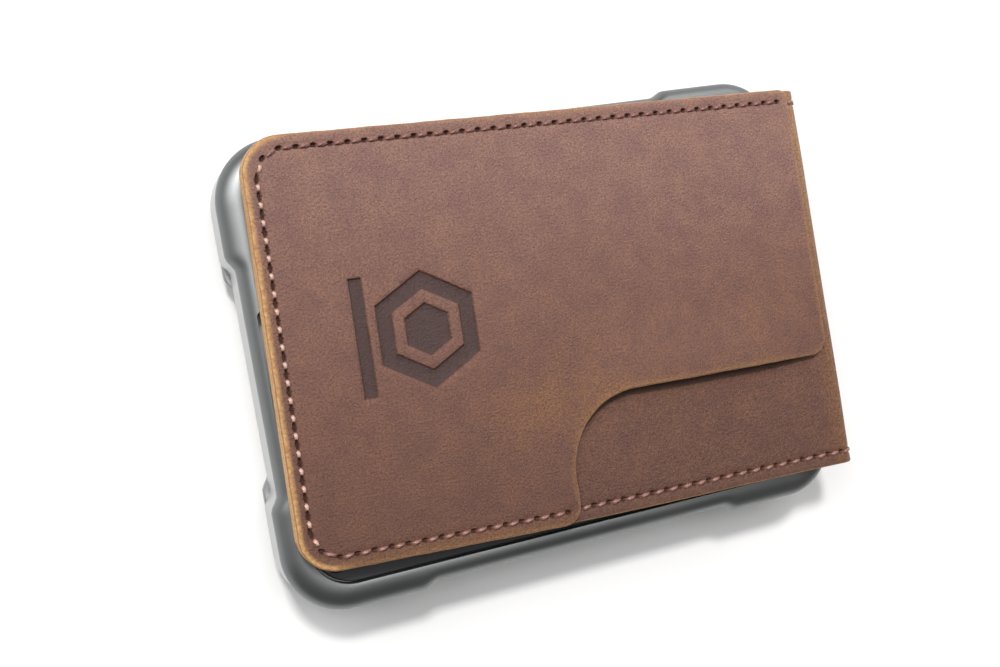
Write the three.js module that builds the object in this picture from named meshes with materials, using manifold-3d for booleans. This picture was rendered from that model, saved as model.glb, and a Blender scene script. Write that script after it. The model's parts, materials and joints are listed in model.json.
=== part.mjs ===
// A minimalist wallet: an aluminium card case in three layers, wrapped in a two-layer leather cover.
// Millimetres. The wallet lies closed on its back leather: +Z points out of the front cover and
// +X points to the leather spine, which closes the card mouth. The origin is the bottom centre.

import * as THREE from "three";
import { ParametricGeometry } from "three/addons/geometries/ParametricGeometry.js";
import { mergeVertices } from "three/addons/utils/BufferGeometryUtils.js";
import Module from "manifold-3d";

const wasm = await Module();
wasm.setup();

// ---------------------------------------------------------------- driving dimensions

// Card case, seen from the front
const CASE_LENGTH = 95.3;
const CASE_WIDTH = 70.5;
const CASE_CORNER = 9.5;
const SIDE_DIP = 1.0;           // shallow recess along each long side, between the corner bumpers
const SIDE_DIP_HALF = 26.3;
const END_DIP = 1.2;            // recess across each short end
const END_DIP_HALF = 17.7;
const STEP_RUN = 2.6;           // length of the soft step from bumper to recess
const BACK_BUMPER_EXTRA = 2.6;  // the back shell's bumpers reach this much further along each side

// Heights of the layers
const BACK_LEATHER = 1.6;
const GLUE_GAP = 0.1;
const BACK_SHELL = 2.6;
const MIDDLE_FRAME = 7.2;
const FRONT_SHELL = 3.2;
const CASE_BOTTOM = BACK_LEATHER + GLUE_GAP;
const FRAME_BOTTOM = CASE_BOTTOM + BACK_SHELL;
const FRONT_BOTTOM = FRAME_BOTTOM + MIDDLE_FRAME;
const CASE_TOP = FRONT_BOTTOM + FRONT_SHELL;

// Front shell
const RIM_WIDTH = 4.0;          // outer edge to the plate's recess
const RIM_CROWN = 0.7;          // flat strip along the top of the rim
const FRONT_SKIRT = 0.6;        // straight edge below the rounding
const PLATE_RECESS = 0.6;       // the plate lies this far below the rim
const PLATE_CORNER = 6.3;
const LEDGE_WIDTH = 3.3;
const NOTCH_WIDTH = 21;         // thumb notch at the closed end
const NOTCH_DEPTH = 1.4;

// Front plate
const PLATE_THICKNESS = 1.2;
const PLATE_CLEARANCE = 0.2;
const THUMB_SLOT_LENGTH = 24;

// Middle frame and card space
const CARD_SPACE_HALF = 28;
const CARD_SPACE_START = -42.8;
const FRAME_INSET = 0.2;
const FLOOR_THICKNESS = 1.2;
const BACK_ROUNDING = 2.0;

// Leaf springs that hold the cards
const SPRING_Y = 14;
const SPRING_WIDTH = 9;
const SPRING_THICKNESS = 0.4;
const SPRING_ROOT = -32;
const SPRING_TAB = 8;
const SPRING_BOW_LENGTH = 52;
const SPRING_BOW_RISE = 2.5;
const SPRING_BOW_STEPS = 16;
const RIVET_RADIUS = 1.0;
const RIVET_HEAD_RADIUS = 1.7;
const RIVET_HEAD_HEIGHT = 0.5;
const RIVET_HEAD_BEVEL = 0.2;
const RIVET_HEAD_DOME = 0.5;
const RIVET_Y_OFFSET = 2.4;

// Screws. Case screws and plate screws are countersunk; leather screws have flat wide heads.
const SMALL_SCREW_RADIUS = 0.8;
const SMALL_HEAD_RADIUS = 1.5;
const SMALL_HEAD_HEIGHT = 0.75;
const CASE_SCREW_X = [-33, 0, 33];
const CASE_SCREW_Y = 29.55;
const PLATE_SCREW_X = 40.1;
const PLATE_SCREW_Y = 27.7;
const LEATHER_SCREW_X = [-37, 34];
const LEATHER_SCREW_Y = 22;
const LEATHER_SCREW_RADIUS = 1.2;
const LEATHER_HEAD_RADIUS = 3.2;
const LEATHER_HEAD_HEIGHT = 0.7;
const LEATHER_HEAD_SINK = 0.15;
const SCREW_TIP_GAP = 0.2;      // from a screw's tip to the bottom of its hole
const CASE_SCREW_WALL = 0.4;    // metal left under the case screws' blind holes
const LEATHER_HEAD_BEVEL = 0.3;
const FIT = 0.06;               // clearance round shanks and heads
const FACE_GAP = 0.02;          // clearance between pieces that lie face to face
const OVERSHOOT = 1;            // cutting tools run this far past the face they cut

// Leather wrap. It sits slightly askew on the case, turned about +Z and moved up and to the right.
const SKEW = THREE.MathUtils.degToRad(-1.7);
const WRAP_X = 2.96;
const WRAP_Y = 1.93;
const WRAP_LEFT = -47.8;
const WRAP_HALF_WIDTH = 31.6;
const WRAP_CORNER = 5.7;
const BACK_SHORTENING = 3;      // the back leather stops this far short of the cover's left edge
const SPINE_OUTER = 47.4;
const SPINE_THICKNESS = 1.6;
const FOLD_RADIUS = 2.6;        // outer radius of both folds; the hinge axes run through their centres
const COVER_LEATHER = 1.5;
const POCKET_LEATHER = 1.4;
const LAYER_GAP = 0.05;
const COVER_LIFT = 0.2;
const COVER_BOTTOM = CASE_TOP + COVER_LIFT;
const COVER_TOP = COVER_BOTTOM + COVER_LEATHER;
const POCKET_BOTTOM = COVER_TOP + LAYER_GAP;
const POCKET_TOP = POCKET_BOTTOM + POCKET_LEATHER;
const SPINE_AXIS_Z = FOLD_RADIUS;
const COVER_AXIS_Z = POCKET_TOP - FOLD_RADIUS;
const FOLD_AXIS_X = SPINE_OUTER - FOLD_RADIUS;
const HINGE_GAP = 0.3;

// Pocket panel and its thumb cut-out
const PANEL_RIGHT = 43.3;
const CUT_LEVEL = -12.8;        // upper edge of the cut-out
const CUT_LEFT = -4;            // where its curve runs down to the lower edge
const CUT_RADIUS = 12;
const PANEL_SMALL_CORNER = 3;

// Lining, magnets and seam
const LINING_THICKNESS = 0.5;
const LINING_INSET = 4.2;
const LINING_RIGHT = 38;
const MAGNET_RADIUS = 5;
const MAGNET_THICKNESS = 1.0;
const MAGNET_X = -36.5;
const MAGNET_Y = [-19, 0, 19];
const SEAM_INSET = 2.0;
const SEAM_WIDTH = 0.7;
const SEAM_HEIGHT = 0.2;
const SEAM_RIGHT = 43.0;
const SEAM_STEP_GAP = 0.4;      // from the cut-out's edge to where the seam steps down

// Smoothness of the faceted shapes
const ARC_STEPS = 5;
const SOFT_STEPS = 3;
const ROUND_STEPS = 4;
const SCREW_SIDES = 12;

// ---------------------------------------------------------------- materials

const finishes = {
  shell: new THREE.MeshStandardMaterial({ color: 0x5a5e60, roughness: 0.38, metalness: 0.9 }),
  band: new THREE.MeshStandardMaterial({ color: 0x8d8f90, roughness: 0.35, metalness: 0.9 }),
  plate: new THREE.MeshStandardMaterial({ color: 0x17181a, roughness: 0.55, metalness: 0.4 }),
  steel: new THREE.MeshStandardMaterial({ color: 0xa9abad, roughness: 0.3, metalness: 1.0 }),
  leather: new THREE.MeshStandardMaterial({ color: 0x7c5a4c, roughness: 0.6, metalness: 0.0 }),
  lining: new THREE.MeshStandardMaterial({ color: 0x1f1b19, roughness: 0.95, metalness: 0.0 }),
  magnet: new THREE.MeshStandardMaterial({ color: 0xb9bcc0, roughness: 0.25, metalness: 1.0 }),
  thread: new THREE.MeshStandardMaterial({ color: 0x6d4a44, roughness: 0.8, metalness: 0.0 }),
};

// ---------------------------------------------------------------- solids and booleans

function toSolid(geometry) {
  const bare = geometry.index ? geometry.toNonIndexed() : geometry.clone();
  bare.deleteAttribute("normal");
  bare.deleteAttribute("uv");
  const merged = mergeVertices(bare, 1e-4);
  return new wasm.Manifold(new wasm.Mesh({
    numProp: 3,
    vertProperties: new Float32Array(merged.attributes.position.array),
    triVerts: new Uint32Array(merged.index.array),
  }));
}

function toGeometry(solid) {
  const { vertProperties, triVerts } = solid.getMesh();
  const geometry = new THREE.BufferGeometry();
  geometry.setAttribute("position", new THREE.BufferAttribute(vertProperties, 3));
  geometry.setIndex(new THREE.BufferAttribute(triVerts, 1));
  geometry.computeVertexNormals();
  return geometry;
}

function cut(body, tools) {
  return tools.reduce((left, tool) => left.subtract(tool), body);
}

function join(pieces) {
  return pieces.reduce((sum, piece) => sum.add(piece));
}

function box(x0, x1, y0, y1, z0, z1) {
  const geometry = new THREE.BoxGeometry(x1 - x0, y1 - y0, z1 - z0);
  geometry.translate((x0 + x1) / 2, (y0 + y1) / 2, (z0 + z1) / 2);
  return toSolid(geometry);
}

// A turned solid from [radius, height] pairs that start and end on the axis, from the bottom up
function turned(profile, x, y) {
  const points = profile.map(([radius, height]) => new THREE.Vector2(radius, height));
  const geometry = new THREE.LatheGeometry(points, SCREW_SIDES);
  geometry.rotateX(Math.PI / 2);
  geometry.translate(x, y, 0);
  return toSolid(geometry);
}

function rod(radius, x, y, z0, z1) {
  return turned([[0, z0], [radius, z0], [radius, z1], [0, z1]], x, y);
}

function slab(points, z0, z1) {
  const options = { depth: z1 - z0, bevelEnabled: false };
  const geometry = new THREE.ExtrudeGeometry(new THREE.Shape(points), options);
  geometry.translate(0, 0, z0);
  return toSolid(geometry);
}

// ---------------------------------------------------------------- outlines

// Points along one side of the case between two corners. The side runs along its own s axis and
// its recess is depth deep and half long to each side of the middle, with a soft step at each end.
function sidePoints(half, depth) {
  const points = [];
  for (const end of [-1, 1]) {
    for (let i = 0; i <= SOFT_STEPS; i += 1) {
      const part = i / SOFT_STEPS;
      const dip = depth * (1 - Math.cos(Math.PI * part)) / 2;
      const along = end * half - STEP_RUN / 2 + STEP_RUN * part;
      points.push([along, end < 0 ? dip : depth - dip]);
    }
  }
  return points;
}

// Closed outline of the case, drawn inset from its outer edge, anticlockwise from the lower right.
// Every outline has the same number of points, so outlines of different heights join into a loft.
function caseOutline(options) {
  const { inset = 0, sideDip = SIDE_DIP, endDip = END_DIP, extra = 0 } = options;
  const { corner = CASE_CORNER - inset } = options;
  const halfX = CASE_LENGTH / 2 - inset;
  const halfY = CASE_WIDTH / 2 - inset;
  const side = sidePoints(SIDE_DIP_HALF - extra, sideDip);
  const end = sidePoints(END_DIP_HALF - extra, endDip);
  const points = [];
  const addCorner = (signX, signY, startTurn) => {
    for (let i = 0; i <= ARC_STEPS; i += 1) {
      const turn = startTurn + (Math.PI / 2) * (i / ARC_STEPS);
      const x = signX * (halfX - corner) + corner * Math.cos(turn);
      const y = signY * (halfY - corner) + corner * Math.sin(turn);
      points.push(new THREE.Vector2(x, y));
    }
  };
  addCorner(1, -1, -Math.PI / 2);
  end.forEach(([s, dip]) => points.push(new THREE.Vector2(halfX - dip, s)));
  addCorner(1, 1, 0);
  side.forEach(([s, dip]) => points.push(new THREE.Vector2(-s, halfY - dip)));
  addCorner(-1, 1, Math.PI / 2);
  end.forEach(([s, dip]) => points.push(new THREE.Vector2(-halfX + dip, -s)));
  addCorner(-1, -1, Math.PI);
  side.forEach(([s, dip]) => points.push(new THREE.Vector2(s, -halfY + dip)));
  return points;
}

// The same kind of outline for the straight-sided shapes inside the case
function innerOutline(inset, corner) {
  return caseOutline({ inset, sideDip: 0, endDip: 0, corner });
}

// Joins outlines at given heights into a closed ring-shaped solid. The levels run once round the
// ring's cross-section: up the outside, over the top, and down the inside.
function loftRing(levels) {
  const slices = levels[0].points.length;
  const stacks = levels.length;
  const geometry = new ParametricGeometry((u, v, target) => {
    const level = levels[Math.round(v * stacks) % stacks];
    const point = level.points[Math.round(u * slices) % slices];
    target.set(point.x, point.y, level.z);
  }, slices, stacks);
  return toSolid(geometry);
}

// ---------------------------------------------------------------- card case

const recessLeft = -CASE_LENGTH / 2 + RIM_WIDTH;
const plateTop = CASE_TOP - PLATE_RECESS;
const plateBottom = plateTop - PLATE_THICKNESS;
const caseScrewTop = plateBottom - GLUE_GAP;
const floorTop = CASE_BOTTOM + FLOOR_THICKNESS;
const notchHalf = NOTCH_WIDTH / 2;

const caseScrewPlaces = CASE_SCREW_X.flatMap((x) => [[x, -CASE_SCREW_Y], [x, CASE_SCREW_Y]]);
const plateScrewPlaces = [-1, 1].flatMap((side) => [
  [side * PLATE_SCREW_X, -PLATE_SCREW_Y],
  [side * PLATE_SCREW_X, PLATE_SCREW_Y],
]);

// A countersunk screw with its flat head at top and its tip at bottom
function countersunk([x, y], top, bottom) {
  const neck = top - SMALL_HEAD_HEIGHT;
  return turned([
    [0, bottom],
    [SMALL_SCREW_RADIUS, bottom],
    [SMALL_SCREW_RADIUS, neck],
    [SMALL_HEAD_RADIUS, top],
    [0, top],
  ], x, y);
}

// The hole that such a screw drops into from above
function countersink([x, y], top, bottom) {
  const shank = SMALL_SCREW_RADIUS + FIT;
  const head = SMALL_HEAD_RADIUS + FIT;
  const neck = top - SMALL_HEAD_HEIGHT - FIT;
  const above = top + OVERSHOOT;
  return turned([
    [0, bottom],
    [shank, bottom],
    [shank, neck],
    [head, top - FIT],
    [head, above],
    [0, above],
  ], x, y);
}

// The rounded, anodised frame round the front plate, with a ledge that the plate lies on
function frontShell() {
  const rounding = RIM_WIDTH - RIM_CROWN;
  const rise = FRONT_SHELL - FRONT_SKIRT;
  const levels = [{ points: caseOutline({}), z: FRONT_BOTTOM }];
  for (let i = 0; i <= ROUND_STEPS; i += 1) {
    const turn = (Math.PI / 2) * (i / ROUND_STEPS);
    const spread = Math.cos(turn);
    const inset = rounding * (1 - spread);
    const points = caseOutline({ inset, sideDip: SIDE_DIP * spread, endDip: END_DIP * spread });
    levels.push({ points, z: FRONT_BOTTOM + FRONT_SKIRT + rise * Math.sin(turn) });
  }
  const recess = innerOutline(RIM_WIDTH, PLATE_CORNER);
  const ledge = innerOutline(RIM_WIDTH + LEDGE_WIDTH, PLATE_CORNER);
  levels.push({ points: recess, z: CASE_TOP });
  levels.push({ points: recess, z: plateBottom });
  levels.push({ points: ledge, z: plateBottom });
  levels.push({ points: ledge, z: FRONT_BOTTOM });
  const below = FRONT_BOTTOM - OVERSHOOT;
  const notchEnd = recessLeft + LEDGE_WIDTH + OVERSHOOT;
  const notch = box(recessLeft - NOTCH_DEPTH, notchEnd, -notchHalf, notchHalf, below, CASE_TOP + OVERSHOOT);
  const screwHoles = caseScrewPlaces.map((place) => countersink(place, caseScrewTop, below));
  const threads = plateScrewPlaces.map(([x, y]) =>
    rod(SMALL_SCREW_RADIUS + FIT, x, y, below, plateBottom + OVERSHOOT));
  return cut(loftRing(levels), [notch, ...screwHoles, ...threads]);
}

// The band between the shells: three walls round the card space, open at the mouth
function middleFrame() {
  const body = slab(caseOutline({ inset: FRAME_INSET }), FRAME_BOTTOM, FRONT_BOTTOM);
  const low = FRAME_BOTTOM - OVERSHOOT;
  const high = FRONT_BOTTOM + OVERSHOOT;
  const mouth = CASE_LENGTH / 2 + OVERSHOOT;
  const cards = box(CARD_SPACE_START, mouth, -CARD_SPACE_HALF, CARD_SPACE_HALF, low, high);
  const screwHoles = caseScrewPlaces.map(([x, y]) => rod(SMALL_SCREW_RADIUS + FIT, x, y, low, high));
  return cut(body, [cards, ...screwHoles]);
}

// The shell under the card space: a thin floor in a rounded rim, with longer corner bumpers
function backShell() {
  const wall = CASE_WIDTH / 2 - CARD_SPACE_HALF;
  const inner = innerOutline(wall, PLATE_CORNER);
  const levels = [];
  for (let i = 0; i <= ROUND_STEPS; i += 1) {
    const turn = (Math.PI / 2) * (i / ROUND_STEPS);
    const inset = BACK_ROUNDING * (1 - Math.sin(turn));
    const z = CASE_BOTTOM + BACK_ROUNDING * (1 - Math.cos(turn));
    levels.push({ points: caseOutline({ inset, extra: BACK_BUMPER_EXTRA }), z });
  }
  levels.push({ points: caseOutline({ extra: BACK_BUMPER_EXTRA }), z: FRAME_BOTTOM });
  levels.push({ points: inner, z: FRAME_BOTTOM });
  levels.push({ points: inner, z: CASE_BOTTOM });
  const floor = slab(innerOutline(wall - OVERSHOOT, PLATE_CORNER), CASE_BOTTOM, floorTop);
  const below = CASE_BOTTOM - OVERSHOOT;
  const above = floorTop + OVERSHOOT;
  const screwHoles = caseScrewPlaces.map(([x, y]) =>
    rod(SMALL_SCREW_RADIUS + FIT, x, y, CASE_BOTTOM + CASE_SCREW_WALL, FRAME_BOTTOM + OVERSHOOT));
  const rivetHoles = rivetPlaces.map(([x, y]) => rod(RIVET_RADIUS + FIT, x, y, below, above));
  const leatherHoles = leatherScrewPlaces.map(([x, y]) =>
    rod(LEATHER_SCREW_RADIUS + FIT, x, y, below, above));
  return cut(loftRing(levels).add(floor), [...screwHoles, ...rivetHoles, ...leatherHoles]);
}

// The black steel plate that the cover's magnets hold on to
function frontPlate() {
  const body = slab(innerOutline(RIM_WIDTH + PLATE_CLEARANCE, PLATE_CORNER), plateBottom, plateTop);
  const below = plateBottom - OVERSHOOT;
  const above = plateTop + OVERSHOOT;
  const slotEnd = recessLeft + THUMB_SLOT_LENGTH - notchHalf;
  const slot = box(recessLeft - OVERSHOOT, slotEnd, -notchHalf, notchHalf, below, above);
  const slotTip = new THREE.CylinderGeometry(notchHalf, notchHalf, above - below, 2 * SCREW_SIDES);
  slotTip.rotateX(Math.PI / 2);
  slotTip.translate(slotEnd, 0, (plateBottom + plateTop) / 2);
  const screwHoles = plateScrewPlaces.map((place) => countersink(place, plateTop, below));
  return cut(body, [slot, toSolid(slotTip), ...screwHoles]);
}

// ---------------------------------------------------------------- card springs

const springBottom = floorTop + FACE_GAP;
const rivetPlaces = [-1, 1].flatMap((side) => [-1, 1].map((end) =>
  [SPRING_ROOT + SPRING_TAB / 2, side * SPRING_Y + end * RIVET_Y_OFFSET]));

// A bowed strip, riveted down at its flat root; its far end slides along the floor as cards press it
function cardSpring(side) {
  const lower = [[SPRING_ROOT, 0], [SPRING_ROOT + SPRING_TAB, 0]];
  for (let i = 1; i <= SPRING_BOW_STEPS; i += 1) {
    const part = i / SPRING_BOW_STEPS;
    const rise = SPRING_BOW_RISE * (1 - Math.cos(2 * Math.PI * part)) / 2;
    lower.push([SPRING_ROOT + SPRING_TAB + SPRING_BOW_LENGTH * part, rise]);
  }
  const upper = lower.map(([x, z]) => [x, z + SPRING_THICKNESS]).reverse();
  const shape = new THREE.Shape([...lower, ...upper].map(([x, z]) => new THREE.Vector2(x, z)));
  const geometry = new THREE.ExtrudeGeometry(shape, { depth: SPRING_WIDTH, bevelEnabled: false });
  geometry.rotateX(Math.PI / 2);
  geometry.translate(0, side * SPRING_Y + SPRING_WIDTH / 2, springBottom);
  const holes = rivetPlaces.map(([x, y]) =>
    rod(RIVET_RADIUS + FIT, x, y, floorTop - OVERSHOOT, floorTop + OVERSHOOT));
  return cut(toSolid(geometry), holes);
}

function springRivet([x, y]) {
  const foot = CASE_BOTTOM + GLUE_GAP;
  const headBottom = springBottom + SPRING_THICKNESS + FACE_GAP;
  const headTop = headBottom + RIVET_HEAD_HEIGHT;
  return turned([
    [0, foot],
    [RIVET_RADIUS, foot],
    [RIVET_RADIUS, headBottom],
    [RIVET_HEAD_RADIUS, headBottom],
    [RIVET_HEAD_RADIUS, headTop - RIVET_HEAD_BEVEL],
    [RIVET_HEAD_RADIUS - RIVET_HEAD_DOME, headTop],
    [0, headTop],
  ], x, y);
}

// ---------------------------------------------------------------- leather wrap

// Turns a point of the wrap into the case's own directions
function wrapToCase([x, y]) {
  const turnedX = x * Math.cos(SKEW) - y * Math.sin(SKEW);
  const turnedY = x * Math.sin(SKEW) + y * Math.cos(SKEW);
  return [WRAP_X + turnedX, WRAP_Y + turnedY];
}

const leatherScrewSpots = LEATHER_SCREW_X.flatMap((x) => [[x, -LEATHER_SCREW_Y], [x, LEATHER_SCREW_Y]]);
const leatherScrewPlaces = leatherScrewSpots.map(wrapToCase);

// A leather panel from left to right, with its two left corners rounded
function panelShape(left, right) {
  const shape = new THREE.Shape();
  const edge = WRAP_HALF_WIDTH;
  shape.moveTo(right, -edge);
  shape.lineTo(right, edge);
  shape.lineTo(left + WRAP_CORNER, edge);
  shape.absarc(left + WRAP_CORNER, edge - WRAP_CORNER, WRAP_CORNER, Math.PI / 2, Math.PI, false);
  shape.lineTo(left, -edge + WRAP_CORNER);
  shape.absarc(left + WRAP_CORNER, -edge + WRAP_CORNER, WRAP_CORNER, Math.PI, 1.5 * Math.PI, false);
  return shape;
}

function extruded(shape, z0, z1) {
  const options = { depth: z1 - z0, bevelEnabled: false, curveSegments: ARC_STEPS };
  const geometry = new THREE.ExtrudeGeometry(shape, options);
  geometry.translate(0, 0, z0);
  return toSolid(geometry);
}

function backLeather() {
  const left = WRAP_LEFT + BACK_SHORTENING;
  const body = extruded(panelShape(left, FOLD_AXIS_X - HINGE_GAP / 2), 0, BACK_LEATHER);
  const headTop = LEATHER_HEAD_SINK + LEATHER_HEAD_HEIGHT;
  const holes = leatherScrewSpots.flatMap(([x, y]) => [
    rod(LEATHER_HEAD_RADIUS + FIT, x, y, -OVERSHOOT, headTop + FACE_GAP),
    rod(LEATHER_SCREW_RADIUS + FIT, x, y, -OVERSHOOT, BACK_LEATHER + OVERSHOOT),
  ]);
  return cut(body, holes);
}

function leatherScrew([x, y]) {
  const headTop = LEATHER_HEAD_SINK + LEATHER_HEAD_HEIGHT;
  const tip = floorTop - GLUE_GAP;
  return turned([
    [0, LEATHER_HEAD_SINK],
    [LEATHER_HEAD_RADIUS - LEATHER_HEAD_BEVEL, LEATHER_HEAD_SINK],
    [LEATHER_HEAD_RADIUS, LEATHER_HEAD_SINK + LEATHER_HEAD_BEVEL],
    [LEATHER_HEAD_RADIUS, headTop],
    [LEATHER_SCREW_RADIUS, headTop],
    [LEATHER_SCREW_RADIUS, tip],
    [0, tip],
  ], x, y);
}

function spineLeather() {
  const low = SPINE_AXIS_Z + HINGE_GAP;
  const high = COVER_AXIS_Z - HINGE_GAP;
  return box(SPINE_OUTER - SPINE_THICKNESS, SPINE_OUTER, -WRAP_HALF_WIDTH, WRAP_HALF_WIDTH, low, high);
}

function coverLeather() {
  const body = extruded(panelShape(WRAP_LEFT, FOLD_AXIS_X - HINGE_GAP / 2), COVER_BOTTOM, COVER_TOP);
  const pocketTop = COVER_BOTTOM + MAGNET_THICKNESS + GLUE_GAP;
  const pockets = MAGNET_Y.map((y) =>
    rod(MAGNET_RADIUS + FIT, MAGNET_X, y, COVER_BOTTOM - OVERSHOOT, pocketTop));
  return cut(body, pockets);
}

function closureMagnet(y) {
  const low = COVER_BOTTOM + LAYER_GAP;
  return rod(MAGNET_RADIUS, MAGNET_X, y, low, low + MAGNET_THICKNESS);
}

function coverLining() {
  const left = WRAP_LEFT + LINING_INSET;
  const half = WRAP_HALF_WIDTH - LINING_INSET;
  const top = COVER_BOTTOM - LAYER_GAP;
  return box(left, LINING_RIGHT, -half, half, top - LINING_THICKNESS, top);
}

// The outer panel, stitched along three edges, with a curved cut-out for the thumb at its open edge
function pocketPanel() {
  const edge = WRAP_HALF_WIDTH;
  const round = PANEL_SMALL_CORNER;
  const shape = new THREE.Shape();
  shape.moveTo(WRAP_LEFT + WRAP_CORNER, -edge);
  shape.lineTo(CUT_LEFT - round, -edge);
  shape.absarc(CUT_LEFT - round, -edge + round, round, -Math.PI / 2, 0, false);
  shape.absarc(CUT_LEFT + CUT_RADIUS, CUT_LEVEL - CUT_RADIUS, CUT_RADIUS, Math.PI, Math.PI / 2, true);
  shape.lineTo(PANEL_RIGHT - round, CUT_LEVEL);
  shape.absarc(PANEL_RIGHT - round, CUT_LEVEL + round, round, -Math.PI / 2, 0, false);
  shape.lineTo(PANEL_RIGHT, edge - round / 2);
  shape.absarc(PANEL_RIGHT - round / 2, edge - round / 2, round / 2, 0, Math.PI / 2, false);
  shape.lineTo(WRAP_LEFT + WRAP_CORNER, edge);
  shape.absarc(WRAP_LEFT + WRAP_CORNER, edge - WRAP_CORNER, WRAP_CORNER, Math.PI / 2, Math.PI, false);
  shape.lineTo(WRAP_LEFT, -edge + WRAP_CORNER);
  shape.absarc(WRAP_LEFT + WRAP_CORNER, -edge + WRAP_CORNER, WRAP_CORNER, Math.PI, 1.5 * Math.PI, false);
  return extruded(shape, POCKET_BOTTOM, POCKET_TOP);
}

// The line of stitching: up the left edge and along both long edges. Along the lower edge it steps
// down from the pocket panel to the cover leather where the cut-out ends.
function seamThread() {
  const half = SEAM_WIDTH / 2;
  const left = WRAP_LEFT + SEAM_INSET;
  const side = WRAP_HALF_WIDTH - SEAM_INSET;
  const high = POCKET_TOP + LAYER_GAP;
  const low = COVER_TOP + LAYER_GAP;
  const stepX = CUT_LEFT + SEAM_STEP_GAP;
  return join([
    box(left - half, left + half, -side - half, side + half, high, high + SEAM_HEIGHT),
    box(left, SEAM_RIGHT, side - half, side + half, high, high + SEAM_HEIGHT),
    box(left, stepX + SEAM_WIDTH, -side - half, -side + half, high, high + SEAM_HEIGHT),
    box(stepX, stepX + SEAM_WIDTH, -side - half, -side + half, low, high + SEAM_HEIGHT),
    box(stepX, SEAM_RIGHT, -side - half, -side + half, low, low + SEAM_HEIGHT),
  ]);
}

// ---------------------------------------------------------------- assembly

function addPiece(group, name, solid, finish) {
  const mesh = new THREE.Mesh(toGeometry(solid), finishes[finish]);
  mesh.name = name;
  group.add(mesh);
}

const cardCase = new THREE.Group();
addPiece(cardCase, "front_shell", frontShell(), "shell");
addPiece(cardCase, "middle_frame", middleFrame(), "band");
addPiece(cardCase, "back_shell", backShell(), "shell");
addPiece(cardCase, "front_plate", frontPlate(), "plate");
plateScrewPlaces.forEach((place, i) => {
  const tip = FRONT_BOTTOM + SCREW_TIP_GAP;
  addPiece(cardCase, `plate_screw_${i + 1}`, countersunk(place, plateTop, tip), "plate");
});
caseScrewPlaces.forEach((place, i) => {
  const tip = CASE_BOTTOM + CASE_SCREW_WALL + SCREW_TIP_GAP;
  addPiece(cardCase, `case_screw_${i + 1}`, countersunk(place, caseScrewTop, tip), "steel");
});
addPiece(cardCase, "card_spring_left", cardSpring(-1), "steel");
addPiece(cardCase, "card_spring_right", cardSpring(1), "steel");
rivetPlaces.forEach((place, i) => {
  addPiece(cardCase, `spring_rivet_${i + 1}`, springRivet(place), "steel");
});

const wrap = new THREE.Group();
addPiece(wrap, "back_leather", backLeather(), "leather");
leatherScrewSpots.forEach((spot, i) => {
  addPiece(wrap, `leather_screw_${i + 1}`, leatherScrew(spot), "steel");
});
addPiece(wrap, "spine_leather", spineLeather(), "leather");
addPiece(wrap, "cover_leather", coverLeather(), "leather");
addPiece(wrap, "cover_lining", coverLining(), "lining");
MAGNET_Y.forEach((y, i) => {
  addPiece(wrap, `closure_magnet_${i + 1}`, closureMagnet(y), "magnet");
});
addPiece(wrap, "pocket_panel", pocketPanel(), "leather");
addPiece(wrap, "seam_thread", seamThread(), "thread");
wrap.rotation.z = SKEW;
wrap.position.set(WRAP_X, WRAP_Y, 0);

// Centres the whole wallet, from the case's closed end to the furthest corner of the spine
const [spineReach] = wrapToCase([SPINE_OUTER, WRAP_HALF_WIDTH]);
const wallet = new THREE.Group();
wallet.add(cardCase, wrap);
wallet.position.x = -(spineReach - CASE_LENGTH / 2) / 2;

export default wallet;
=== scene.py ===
"""Looks of a minimalist wallet: a metal card case in a two-layer leather wrap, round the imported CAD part.

Sizes are in millimetres and are turned into metres where a mesh is made. The case has its own frame,
along the part's axes. The leather wrap has another, turned slightly on the case: x runs from the open
edge to the spine, y across the wallet and z up. Heights and places come from the CAD nodes and joints.
"""

import json
import math

import bmesh
import bpy
import numpy as np
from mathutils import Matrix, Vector
from mathutils.geometry import delaunay_2d_cdt


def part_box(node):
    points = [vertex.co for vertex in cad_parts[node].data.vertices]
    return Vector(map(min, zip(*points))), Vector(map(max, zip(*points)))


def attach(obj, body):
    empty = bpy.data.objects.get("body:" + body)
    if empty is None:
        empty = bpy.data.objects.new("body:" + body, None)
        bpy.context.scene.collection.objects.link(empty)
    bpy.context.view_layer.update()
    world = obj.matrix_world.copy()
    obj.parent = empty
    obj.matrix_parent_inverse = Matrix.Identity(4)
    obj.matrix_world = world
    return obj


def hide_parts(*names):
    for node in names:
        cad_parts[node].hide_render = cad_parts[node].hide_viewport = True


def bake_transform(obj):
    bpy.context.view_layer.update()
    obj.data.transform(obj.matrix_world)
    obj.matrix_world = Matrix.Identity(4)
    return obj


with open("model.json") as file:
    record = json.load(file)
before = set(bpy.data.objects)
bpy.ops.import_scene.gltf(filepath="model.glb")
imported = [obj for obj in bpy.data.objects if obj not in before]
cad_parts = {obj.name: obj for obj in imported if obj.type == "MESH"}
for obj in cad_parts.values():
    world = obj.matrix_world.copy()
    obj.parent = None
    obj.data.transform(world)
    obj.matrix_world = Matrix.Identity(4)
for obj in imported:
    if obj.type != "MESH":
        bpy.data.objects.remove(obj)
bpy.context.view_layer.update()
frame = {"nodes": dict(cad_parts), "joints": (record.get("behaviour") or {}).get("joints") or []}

MM = 0.001

# ---- driving dimensions

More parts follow.
